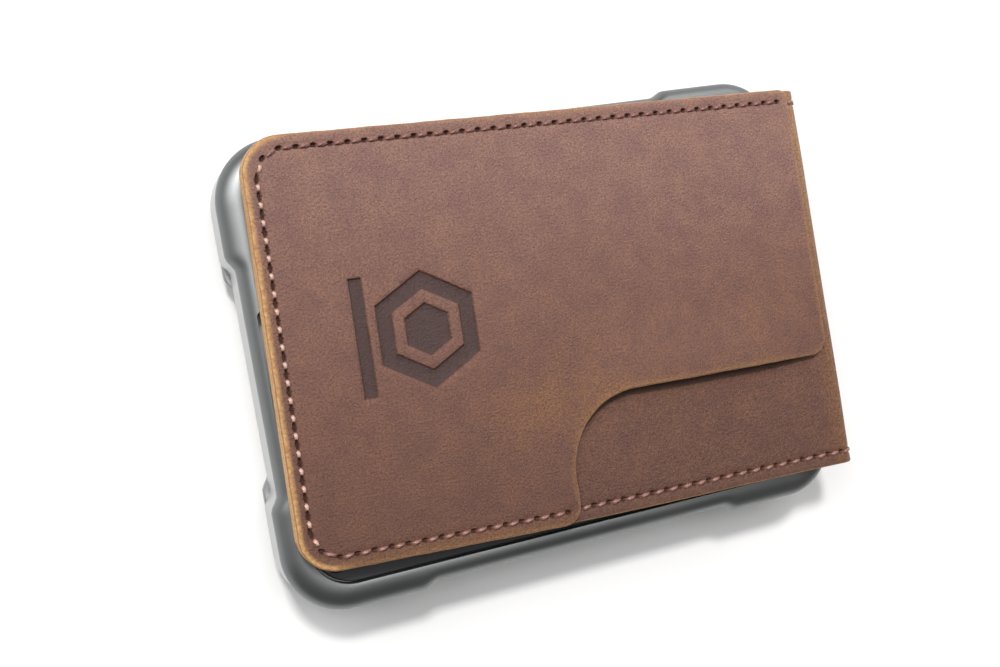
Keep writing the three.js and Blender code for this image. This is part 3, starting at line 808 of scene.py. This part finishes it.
def seam_holes():
    """The seam's holes in order: along the top from the right, down the left edge, along the bottom."""
    left = WRAP_LEFT + SEAM_INSET
    side = WRAP_HALF - SEAM_INSET
    row = (np.arange(ROW_HOLES) - (ROW_HOLES - 1) / 2) * PITCH
    column = (np.arange(COLUMN_HOLES) - (COLUMN_HOLES - 1) / 2) * PITCH
    corner_x = left + CORNER_HOLE[0]
    corner_y = side + CORNER_HOLE[1]
    top = [(x, side) for x in row[::-1]]
    down = [(left, y) for y in column[::-1]]
    bottom = [(x, -side) for x in row]
    return np.array(top + [(corner_x, corner_y)] + down + [(corner_x, -corner_y)] + bottom)


HOLES = seam_holes()
ROW_END = HOLES[0][0]


def hole_shapes(chain):
    """For each hole of a chain: its place, the seam's direction, its half length and its half width."""
    aims = unit(np.gradient(chain, axis=0))
    halves = [SLIT_HALF if abs(aim[1]) > 0.9 else HOLE_HALF for aim in aims]
    return [(hole, aim, *half) for hole, aim, half in zip(chain, aims, halves)]


def seam_relief(points, chain):
    """Height change and pit strength that the seam gives a leather face."""
    height = np.zeros(len(points))
    pit = np.zeros(len(points))
    for hole, aim, half_long, half_wide in hole_shapes(chain):
        near = np.abs(points - hole).max(axis=1) < PITCH
        offset = points[near] - hole
        along = offset @ aim
        across = offset @ np.array([-aim[1], aim[0]])
        reach = np.hypot(along / half_long, across / half_wide)
        pit[near] = np.maximum(pit[near], 1 - smoothstep(0.75, 1.25, reach))
        fade = smoothstep(PITCH * 0.75, PITCH * 0.45, np.abs(along))
        groove = np.exp(-(across / GROOVE_WIDTH) ** 2) * fade
        height[near] = np.minimum(height[near], -GROOVE_DEPTH * groove)
    return height - PIT_DEPTH * pit, pit


def hole_rings(chain):
    """Mesh points round each hole, so that its rim is clean."""
    found = []
    turns = np.linspace(0, 2 * math.pi, 14, endpoint=False)
    for hole, aim, half_long, half_wide in hole_shapes(chain):
        side = np.array([-aim[1], aim[0]])
        for scale in (0.45, 0.78, 1.0, 1.26, 1.7):
            ring = hole + np.outer(np.cos(turns) * half_long * scale, aim)
            found.append(ring + np.outer(np.sin(turns) * half_wide * scale, side))
    return np.concatenate(found)


def strand(start, end, surface):
    """Rings of one plied stitch from hole to hole over the leather; short where the holes are long slits."""
    aim = unit(end - start)
    upright = abs(aim[1]) > 0.9
    tuck = SLIT_TUCK if upright else STITCH_TUCK
    slant = STITCH_SLANT * (0.6 if upright else 1.0)
    parts = np.linspace(0.0, 1.0, STRAND_STEPS)
    line = start + np.outer(tuck + (1 - 2 * tuck) * parts, end - start)
    line += np.outer(slant * (2 * parts - 1), [-aim[1], aim[0]])
    lifts = STITCH_RISE - STITCH_DIVE * np.abs(2 * parts - 1) ** 5
    centres = surface(np.column_stack([line, lifts]))
    ahead = unit(np.gradient(centres, axis=0))
    up = unit(surface(np.column_stack([line, lifts + 0.1])) - centres)
    across = unit(np.cross(ahead, up))
    up = np.cross(across, ahead)
    turns = np.linspace(0, 2 * math.pi, STRAND_SIDES, endpoint=False)
    rings = []
    for k, part in enumerate(parts):
        taper = 0.78 + 0.22 * math.sin(math.pi * part)
        radius = THREAD_RADIUS * taper + THREAD_PLY * np.cos(3 * turns - THREAD_TWIST * part)
        ring = np.outer(radius * np.cos(turns), across[k]) + np.outer(0.8 * radius * np.sin(turns), up[k])
        rings.append(centres[k] + ring)
    return rings


def strands(name, chain, surface):
    """All stitches along a chain of holes, as one object."""
    pieces = [loft(strand(start, end, surface)) for start, end in zip(chain[:-1], chain[1:])]
    size = STRAND_STEPS * STRAND_SIDES
    points = np.concatenate([piece[0] for piece in pieces])
    faces = [tuple(i + k * size for i in face) for k, piece in enumerate(pieces) for face in piece[1]]
    # painted highlight on the stitches that run down the left edge
    run = np.abs(np.diff(chain, axis=0))
    painted_highlight = np.repeat(np.where(run[:, 1] > run[:, 0], THREAD_PAINTED_HIGHLIGHT, 0.0), size)
    return build(name, points, faces, THREAD_LOOK, {"painted_highlight": painted_highlight}, sharp=60)


# ---- pressed ornament

def hexagon_reach(points):
    """How far each point is from the ornament's centre, measured to the flats of a hexagon round it."""
    turns = np.radians([0, 60, 120])
    flats = np.column_stack([np.cos(turns), np.sin(turns)])
    return np.abs((points - np.array([MARK_X, MARK_Y])) @ flats.T).max(axis=1)


def mark_strength(points):
    """1 on the floor of the pressed ornament, 0 outside it, with steep walls between."""
    reach = hexagon_reach(points)

    def within(flat):
        return 1 - smoothstep(flat - MARK_WALL, flat + MARK_WALL, reach)

    ring = within(RING_OUTER) * (1 - within(RING_INNER))
    x_reach = np.abs(points[:, 0] - BAR_X) - BAR_HALF_WIDTH
    y_reach = np.abs(points[:, 1] - MARK_Y) - BAR_HALF_LENGTH
    bar = 1 - smoothstep(-MARK_WALL, MARK_WALL, np.maximum(x_reach, y_reach))
    return np.maximum.reduce([ring, within(CORE), bar])


def mark_points():
    """Extra mesh points along the ornament's walls."""
    found = []
    for step in MARK_WALL * np.array([-1.4, -0.7, 0.0, 0.7, 1.4]):
        for flat in (RING_OUTER, RING_INNER, CORE):
            radius = (flat + step) / math.cos(math.pi / 6)
            found.append(resampled(arc((MARK_X, MARK_Y), radius, 30, 330, 5), MARK_SPACING))
        x = BAR_HALF_WIDTH + step
        y = BAR_HALF_LENGTH + step
        bar = np.array([BAR_X, MARK_Y]) + np.array([(-x, -y), (x, -y), (x, y), (-x, y)])
        found.append(resampled(bar, MARK_SPACING))
    return np.concatenate(found)


# ---- painted light and shade on the leather, and where it is rubbed tan

def painted_shading(x, y):
    """Painted light and shade: the leather drawn paler towards the top and darker towards the bottom."""
    level = 0.93 + 0.0120 * y + 0.0014 * x * smoothstep(0, 20, y) + 0.05 * smoothstep(5, 25, np.abs(y))
    return np.clip(level, 0.6, 1.35)


def lip_shade(points):
    """Darkens the cover just below the pocket's free edge, which deepens the shadow there."""
    centre = np.array([CUT_LEFT + CUT_RADIUS, CUT_LEVEL - CUT_RADIUS])
    inward = CUT_RADIUS - np.linalg.norm(points - centre, axis=1)
    on_arc = (points[:, 0] < centre[0]) & (points[:, 1] > centre[1])
    depth = np.where(on_arc, inward, CUT_LEVEL - points[:, 1])
    along = smoothstep(CUT_LEFT, CUT_LEFT + 9, points[:, 0]) * (1 - smoothstep(34, 44, points[:, 0]))
    return 1 - 0.8 * along * (1 - smoothstep(0.5, 1.5, depth))


def rub_strength(points, from_edge):
    """How tan the panel is: at its margins, beside the cut-out, along the bottom and in the middle."""
    x, y = points.T
    margin = np.exp(-from_edge / 1.1)
    cut_edge = np.exp(-((x + 8) / 13) ** 2 - ((y + 14) / 6) ** 2)
    low_edge = np.exp(-((y + WRAP_HALF) / 2.0) ** 2)
    middle = np.exp(-((x - 12) / 15) ** 2 - ((y - 3) / 10) ** 2)
    return margin * 0.65 + cut_edge * 0.65 + low_edge * 0.8 + middle * 0.2


# ---- pocket panel

PANEL_AREA = (WRAP_LEFT, PANEL_RIGHT, -WRAP_HALF, WRAP_HALF)


def panel_outline():
    """The pocket panel's edge, anticlockwise from the upper end of its lower left corner."""
    left = WRAP_LEFT + WRAP_CORNER
    r = PANEL_SMALL_CORNER
    outline = np.concatenate([
        arc((left, WRAP_CORNER - WRAP_HALF), WRAP_CORNER, 180, 270, 16),
        arc((CUT_LEFT - r, r - WRAP_HALF), r, 270, 360, 10),
        arc((CUT_LEFT + CUT_RADIUS, CUT_LEVEL - CUT_RADIUS), CUT_RADIUS, 180, 90, 32),
        arc((PANEL_RIGHT - r, CUT_LEVEL + r), r, -90, 0, 12),
        arc((PANEL_RIGHT - r / 2, WRAP_HALF - r / 2), r / 2, 0, 90, 8),
        arc((left, WRAP_HALF - WRAP_CORNER), WRAP_CORNER, 90, 180, 16),
    ])
    return resampled(outline, OUTLINE_SPACING)


def panel_lift(points):
    """How far the panel stands off the cover: a soft rise towards the cut-out's free edge."""
    x, y = points.T
    along = smoothstep(-6.0, 14.0, x) * (1 - smoothstep(30.0, 43.0, x))
    near = 1 - smoothstep(0.0, CUT_LIFT_REACH, y - CUT_LEVEL)
    return CUT_LIFT * along * near


def panel_cloud(chain):
    """Mesh points over the panel: a coarse grid, a fine one at the seam, and rows at holes and ornament."""
    coarse = grid(*PANEL_AREA, COARSE_GRID)
    fine = grid(*PANEL_AREA, FINE_GRID)
    x, y = fine.T
    near_seam = np.abs(np.abs(y) - (WRAP_HALF - SEAM_INSET)) < 1.3
    near_seam |= np.abs(x - (WRAP_LEFT + SEAM_INSET)) < 1.3
    near_seam |= (x < WRAP_LEFT + 6) & (np.abs(y) > WRAP_HALF - 6)
    return np.round(np.concatenate([coarse, fine[near_seam], hole_rings(chain), mark_points()]), 4)


def panel_face(flat, from_edge, chain):
    """Height, pit strength and mark strength over the panel's face."""
    height, pit = seam_relief(flat, chain)
    mark = mark_strength(flat)
    height = height - MARK_DEPTH * mark + waves(flat, 3, 0.10) * smoothstep(0, 4, from_edge)
    height -= 0.10 * np.exp(-from_edge / 0.6)
    return POCKET_TOP + height + panel_lift(flat), pit, mark


def cut_edge_steps(thickness):
    """(inset, drop) of each ring down a cut edge, rounded at its top and bottom."""
    edge = LEATHER_EDGE
    steps = [(edge * (1 - math.sin(t)), edge * (1 - math.cos(t))) for t in np.radians([30, 60, 90])]
    steps += [(0.03, thickness * 0.5), (0.0, thickness - edge)]
    for turn in np.radians([45, 90]):
        steps.append((edge * (1 - math.cos(turn)), thickness - edge * (1 - math.sin(turn))))
    return steps


def panel_sheet(outline, outward, rim, face_points, faces):
    """The panel's face closed with its cut edge and underside: points, faces and edge point count."""
    loops = [nearest_index(face_points[:, :2], rim)]
    rim_height = face_points[loops[0], 2]
    points = [face_points]
    count = len(face_points)
    for inset, drop in cut_edge_steps(POCKET_TOP - POCKET_BOTTOM):
        ring = outline - outward * inset
        points.append(np.column_stack([ring, rim_height - drop]))
        loops.append(list(range(count, count + len(ring))))
        count += len(ring)
    on_edge = count - len(face_points)
    under_rim = np.round(ring, 4)
    under, under_faces = triangulated(under_rim, np.round(grid(*PANEL_AREA, UNDER_GRID), 4), 0.8)
    number = dict(zip(nearest_index(under, under_rim), loops[-1]))
    extra = [i for i in range(len(under)) if i not in number]
    number.update((i, count + k) for k, i in enumerate(extra))
    points.append(np.column_stack([under[extra], POCKET_BOTTOM + panel_lift(under[extra])]))
    under_faces = [tuple(number[i] for i in face) for face in under_faces]
    return np.concatenate(points), faces + band_faces(loops) + under_faces, on_edge


def panel_fields(points, from_edge, pit, mark, on_edge):
    """The panel's material fields. The face's points come first, then on_edge points down the cut edge."""
    on_face = len(pit)
    rest = np.zeros(len(points) - on_face)
    flat = points[:on_face, :2]
    edge_shares = [0.2, 0.6, 1, 1, 1, 1, 1]
    worn_left = (1 - smoothstep(0.35, 1.05, from_edge)) * (1 - smoothstep(3.0, 9.0, flat[:, 0] - WRAP_LEFT))
    cut = np.full(len(points), 0.6)
    cut[:on_face] = np.maximum(0.12 * np.exp(-((from_edge - LEATHER_EDGE) / 0.08)), 0.85 * worn_left)
    cut[on_face:on_face + on_edge] = np.repeat(edge_shares, on_edge // len(edge_shares))
    # the last field below is painted light and shade over the panel
    return {
        "flat": points * np.array([1, 1, 0]),
        "wall": points,
        "pit": np.append(pit, rest),
        "mark": np.append(mark, rest),
        "cut": cut,
        "rub": np.append(rub_strength(flat, from_edge), rest),
        "painted_shading": painted_shading(points[:, 0], points[:, 1]),
    }


def over_panel(points):
    """Thread points given as (x, y, height above the panel's face), in the part's frame."""
    height = POCKET_TOP + panel_lift(points[:, :2]) + points[:, 2] - THREAD_SINK
    return wrap_to_part(np.column_stack([points[:, :2], height]))


def make_panel():
    """The pocket panel and the stitches over it."""
    outline = panel_outline()
    outward = normals_2d(outline)
    step = np.arange(len(outline))
    wobble = 0.02 * np.sin(step * 0.31) + 0.015 * np.sin(step * 0.83)
    outline = outline + outward * wobble[:, None]
    chain = HOLES[(HOLES[:, 1] > CUT_LEVEL) | (HOLES[:, 0] < CUT_LEFT - 0.5)]
    rim = np.round(outline - outward * LEATHER_EDGE, 4)
    flat, faces = triangulated(rim, panel_cloud(chain), 0.12)
    from_edge = distance_to(outline, flat)
    height, pit, mark = panel_face(flat, from_edge, chain)
    points, faces, on_edge = panel_sheet(outline, outward, rim, np.column_stack([flat, height]), faces)
    fields = panel_fields(points, from_edge, pit, mark, on_edge)
    panel = build("pocket_panel_skin", wrap_to_part(points), faces, LEATHER_LOOK, fields, sharp=50)
    declare(panel, "cover", "brown_leather", "pocket_panel")
    thread = strands("seam_thread_front", chain, over_panel)
    declare(thread, "cover", "thread", "seam_thread")


# ---- wrap

# Distances along the wrap's outer face, from the cover's open edge round the spine to the back's far edge
FLAT_END = FOLD_X - WRAP_LEFT
QUARTER = FOLD_RADIUS * math.pi / 2
SPINE_RUN = COVER_TOP - 2 * FOLD_RADIUS
WRAP_MIDDLE = FLAT_END + QUARTER + SPINE_RUN / 2
BACK_START = FLAT_END + 2 * QUARTER + SPINE_RUN
WRAP_LENGTH = BACK_START + FOLD_X - BACK_LEFT
FIRST_HOLE = ROW_END - WRAP_LEFT


def wrap_surface(points):
    """Points given as (distance along the wrap, y, height above its outer face), in the part's frame."""
    distance, y, height = points.T
    on_fold = np.clip((distance - FLAT_END) / QUARTER, 0, 1) * math.pi / 2
    on_spine = np.clip(distance - FLAT_END - QUARTER, 0, SPINE_RUN)
    on_low = np.clip((distance - BACK_START) / QUARTER + 1, 0, 1) * math.pi / 2
    on_back = np.clip(distance - BACK_START, 0, None)
    x = np.minimum(WRAP_LEFT + distance, FOLD_X) + FOLD_RADIUS * np.sin(on_fold)
    x = x - FOLD_RADIUS * (1 - np.cos(on_low)) - on_back
    z = COVER_TOP - FOLD_RADIUS * (1 - np.cos(on_fold)) - on_spine - FOLD_RADIUS * np.sin(on_low)
    turn = on_fold + on_low
    return wrap_to_part(np.column_stack([x + np.sin(turn) * height, y, z + np.cos(turn) * height]))


def over_wrap(points):
    return wrap_surface(points - np.array([0, 0, THREAD_SINK]))


def flush_with_wrap(points):
    return wrap_surface(points * np.array([1, 1, BACK_FLATTENING]) - np.array([0, 0, BACK_SINK]))


def half_width(distance):
    """Half the wrap's width, narrowed at the rounded corners of its two ends."""
    short = min(max(WRAP_CORNER - min(distance, WRAP_LENGTH - distance), 0), WRAP_CORNER)
    return WRAP_HALF - WRAP_CORNER + math.sqrt(WRAP_CORNER ** 2 - short ** 2)


def hole_numbers(start, end, more=0):
    """Numbers of the holes along a long edge between two distances, and that many more at each end."""
    first = math.ceil((start - FIRST_HOLE) / PITCH) - more
    last = math.floor((end - FIRST_HOLE) / PITCH) + more
    return np.arange(first, last + 1)


def seam_columns(start, end):
    """Distances along the wrap between start and end, closer together at each stitch hole."""
    offsets = np.array([-0.75, -0.5, -0.34, -0.2, 0, 0.2, 0.34, 0.5, 0.75, PITCH / 2])
    every = (FIRST_HOLE + hole_numbers(start, end, 1)[:, None] * PITCH + offsets).ravel()
    return np.sort(every[(every > start) & (every < end)])


def seam_rows():
    """Places across the wrap, closer together along the two stitch lines."""
    side = WRAP_HALF - SEAM_INSET
    near = np.array([0.1, 0.2, 0.32, 0.5, 0.85, 1.3])
    upper = np.concatenate([np.arange(0, side - 1.6, 1.0), side - near[::-1], [side], side + near])
    return np.concatenate([-upper[:0:-1], upper])


def row_chain(start, end, side):
    """Holes along one long edge of the wrap, as (distance, y)."""
    places = FIRST_HOLE + hole_numbers(start, end) * PITCH
    return np.column_stack([places, np.full(len(places), side * (WRAP_HALF - SEAM_INSET))])


def wrap_columns(tip, other):
    """Distances of the mesh's rings from the cut tip to the other end, close at the tip and at the holes."""
    inward = 1 if other > tip else -1
    corner = tip + inward * WRAP_CORNER
    bend = WRAP_CORNER * (1 - np.cos(np.linspace(0.12, math.pi / 2, 14)))
    cap = LEATHER_EDGE * (1 - np.cos(np.radians([0, 25, 50, 70, 90])))
    found = [tip + inward * cap, tip + inward * bend[bend > LEATHER_EDGE + 0.05], [other]]
    if inward > 0:
        seam_start = CUT_LEFT - WRAP_LEFT - 3
        found += [np.arange(corner, seam_start, 1.6), seam_columns(seam_start, other)]
    else:
        found.append(seam_columns(other, corner))
    columns = np.unique(np.round(np.concatenate(found), 4))
    near_other = np.abs(columns - other)
    return columns[(near_other < 1e-3) | (near_other > 0.06)]


def wrap_ring(distance, from_tip, chains):
    """A ring round the leather as (distance, y, height), outer face first, and that face's pit strength."""
    edge = LEATHER_EDGE
    width = half_width(distance)
    pinch = edge - math.sqrt(max(edge ** 2 - max(edge - from_tip, 0) ** 2, 0))
    scale = (width - edge) / (WRAP_HALF - edge)
    top_y = np.concatenate([[edge - WRAP_HALF], seam_rows(), [WRAP_HALF - edge]]) * scale
    spots = np.column_stack([np.full(len(top_y), distance), top_y])
    changes, pits = zip(*[seam_relief(spots, chain) for chain in chains])
    relief = sum(changes) + waves(spots, 5, 0.05) * smoothstep(0, 4, width - np.abs(top_y))
    turns = np.radians([30, 60, 90])
    high_y = width - edge + edge * np.sin(turns)
    high = -edge * (1 - np.cos(turns)) - pinch
    low_y = width - edge + edge * np.cos(turns)
    low = -LEATHER + edge * (1 - np.sin(turns)) + pinch
    under_y = np.linspace(WRAP_HALF - edge, edge - WRAP_HALF, 25) * scale
    y = np.concatenate([top_y, high_y, low_y[:-1], under_y, -low_y[-2::-1], -high_y[::-1]])
    under = np.full(len(under_y), pinch - LEATHER)
    height = np.concatenate([relief - pinch, high, low[:-1], under, low[-2::-1], high[::-1]])
    ring = np.column_stack([np.full(len(y), distance), y, np.clip(height, -LEATHER, 1)])
    return ring, np.maximum.reduce(pits)


def wrap_fields(ring, pit, from_tip):
    """The material fields of one ring round the leather."""
    distance = ring[0, 0]
    on_face = len(pit)
    rest = np.zeros(len(ring) - on_face)
    edge_shares = [0.25, 0.7, 1, 1, 1]
    cut = np.full(len(ring), 0.35)
    cut[:on_face] = 0
    cut[on_face:on_face + 5] = edge_shares
    cut[-5:] = edge_shares[::-1]
    if from_tip < LEATHER_EDGE * 0.9:
        cut[:] = max(0.3, 1 - from_tip / LEATHER_EDGE)
    from_edge = np.minimum(half_width(distance) - np.abs(ring[:, 1]), from_tip + 0.01)
    bends = (FLAT_END + QUARTER * 0.35, BACK_START - QUARTER * 0.5)
    rub = 0.55 * np.exp(-np.maximum(from_edge, 0) / 1.5)
    rub += 1.15 * sum(math.exp(-((distance - bend) / 3.0) ** 2) for bend in bends)
    rub += 0.25 * (FLAT_END < distance < BACK_START)
    # painted light and shade along the wrap; on the cover also painted shade, deepest under the pocket's
    # free edge
    shade = painted_shading(np.minimum(WRAP_LEFT + ring[:, 0], SPINE_OUTER), ring[:, 1])
    if distance < FLAT_END + 1:
        shade = shade * COVER_SHADE * lip_shade(ring[:, :2] + np.array([WRAP_LEFT, 0]))
    return {
        "flat": ring * np.array([1, 1, 0]) + np.array(PATTERN_SHIFT),
        "wall": ring,
        "pit": np.append(pit, rest),
        "cut": cut,
        "rub": rub,
        "mark": np.zeros(len(ring)),
        "painted_shading": shade,
    }


def make_wrap_part(name, tip, other, chains):
    """A closed leather piece along the wrap, from its cut tip to the other end."""
    rings = []
    fields = []
    for distance in wrap_columns(tip, other):
        ring, pit = wrap_ring(distance, abs(distance - tip), chains)
        rings.append(wrap_surface(ring))
        fields.append(wrap_fields(ring, pit, abs(distance - tip)))
    points, faces = loft(rings)
    joined = {key: np.concatenate([field[key] for field in fields]) for key in fields[0]}
    return build(name, points, faces, LEATHER_LOOK, joined, sharp=50)


def make_wrap():
    """The wrap's two leather pieces, which meet in the middle of the spine, and the stitches over them."""
    cover_chains = [
        row_chain(CUT_LEFT - WRAP_LEFT - 1, WRAP_MIDDLE + PITCH, -1),
        row_chain(PANEL_RIGHT - WRAP_LEFT, WRAP_MIDDLE + PITCH, 1),
    ]
    back_chains = [row_chain(WRAP_MIDDLE - PITCH, WRAP_LENGTH - WRAP_CORNER, side) for side in (-1, 1)]
    cover = make_wrap_part("wrap_cover_skin", 0.0, WRAP_MIDDLE, cover_chains)
    back = make_wrap_part("wrap_back_skin", WRAP_LENGTH, WRAP_MIDDLE, back_chains)
    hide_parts("cover_leather", "spine_leather")
    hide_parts("back_leather")
    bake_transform(cover)
    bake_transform(back)
    make_wrap_stitches()


def make_wrap_stitches():
    """The stitches beyond the panel: below its cut-out, round the two folds and along the back."""
    below_cut = row_chain(CUT_LEFT - WRAP_LEFT - 2.0, FLAT_END - 1.0, -1)
    declare(strands("seam_thread_cutout", below_cut, over_wrap), "cover", "thread")
    turn_end = BACK_START + 3
    for side, tag in ((-1, "lower"), (1, "upper")):
        over = row_chain(FLAT_END - 1.0 - PITCH, WRAP_MIDDLE, side)
        thread = strands(f"seam_thread_fold_{tag}", over, over_wrap)
        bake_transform(thread)
        under = row_chain(WRAP_MIDDLE - PITCH, turn_end, side)
        thread = strands(f"seam_thread_turn_{tag}", under, flush_with_wrap)
        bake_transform(thread)
        behind = row_chain(turn_end - PITCH, WRAP_LENGTH - WRAP_CORNER, side)
        declare(strands(f"seam_thread_back_{tag}", behind, flush_with_wrap), "case", "thread")


# ---- lining

def make_lining():
    """The cover's lining: a thin napped sheet that shows the magnets behind it as faint rounds."""
    left = WRAP_LEFT + LINING_INSET
    half = WRAP_HALF - LINING_INSET
    outline = rounded_rectangle(left, LINING_RIGHT, -half, half, LINING_CORNER, 6)
    outline = np.round(resampled(outline, 1.0), 4)
    cloud = np.round(grid(left, LINING_RIGHT, -half, half, LINING_GRID), 4)
    flat, faces = triangulated(outline, cloud, 0.4)
    bulge = waves(flat, 9, 0.05)
    for i in range(1, 4):
        middle = (middle_mm(f"closure_magnet_{i}")[:2] - WRAP_ORIGIN) @ WRAP_TURN
        reach = np.linalg.norm(flat - middle, axis=1)
        bulge += MAGNET_BULGE * (1 - smoothstep(MAGNET_FLAT, MAGNET_FADE, reach))
    count = len(flat)
    points = np.concatenate([
        at_height(flat, lining_high[2]),
        np.column_stack([flat, lining_low[2] - bulge]),
    ])
    edge = nearest_index(flat, outline)
    faces += [tuple(i + count for i in face) for face in faces]
    faces += band_faces([edge, [i + count for i in edge]])
    lining = build("cover_lining_cloth", wrap_to_part(points), faces, LINING_LOOK)
    declare(lining, "cover", "lining_cloth", "cover_lining")


# ---- carried-over CAD pieces

def dress_cad_nodes():
    """Gives the CAD's own solids that stay visible their finishes."""
    looks = {"card_spring": STEEL_LOOK, "spring_rivet": STEEL_LOOK, "case_screw": STEEL_LOOK,
             "closure_magnet": NICKEL_LOOK}
    for name, obj in frame["nodes"].items():
        for prefix, look in looks.items():
            if name.startswith(prefix):
                obj.data.materials.clear()
                obj.data.materials.append(look)


# ---- studio

def area_light(name, place, target, size, power, colour):
    """A soft light, given for a studio one metre deep and enlarged with the studio."""
    data = bpy.data.lights.new(name, "AREA")
    data.shape = "RECTANGLE"
    data.size = size[0] * STUDIO_SIZE
    data.size_y = size[1] * STUDIO_SIZE
    data.energy = power * STUDIO_SIZE ** 2
    data.color = colour
    lamp = add_object(name, data)
    lamp.location = Vector(place) * STUDIO_SIZE
    lamp.rotation_mode = "QUATERNION"
    lamp.rotation_quaternion = (Vector(target) - lamp.location).to_track_quat("-Z", "Y")


def make_table():
    mesh = bpy.data.meshes.new("table_top")
    shape = bmesh.new()
    bmesh.ops.create_grid(shape, x_segments=8, y_segments=8, size=TABLE_HALF)
    shape.to_mesh(mesh)
    shape.free()
    mesh.materials.append(table_material())
    table = add_object("table_top", mesh)
    table.location = (0, 0, -TABLE_DROP)


def make_studio():
    for light in LIGHTS:
        area_light(*light)
    room = bpy.data.worlds.new("room")
    room.use_nodes = True
    bpy.context.scene.world = room
    back = room.node_tree.nodes["Background"]
    back.inputs["Color"].default_value = ROOM_COLOUR
    back.inputs["Strength"].default_value = ROOM_STRENGTH
    bpy.context.scene.view_settings.view_transform = "Standard"


def make_camera():
    data = bpy.data.cameras.new("camera")
    data.sensor_width = CAMERA_SENSOR
    data.lens = CAMERA_LENS
    data.clip_start = 0.01
    camera = add_object("camera", data)
    camera.location = CAMERA_PLACE
    camera.rotation_mode = "XYZ"
    camera.rotation_euler = [math.radians(angle) for angle in CAMERA_TURN]
    bpy.context.scene.camera = camera


make_front_shell()
make_band()
make_back_shell()
make_plate()
make_screws()
make_wrap()
make_panel()
make_lining()
dress_cad_nodes()
make_table()
make_studio()
make_camera()
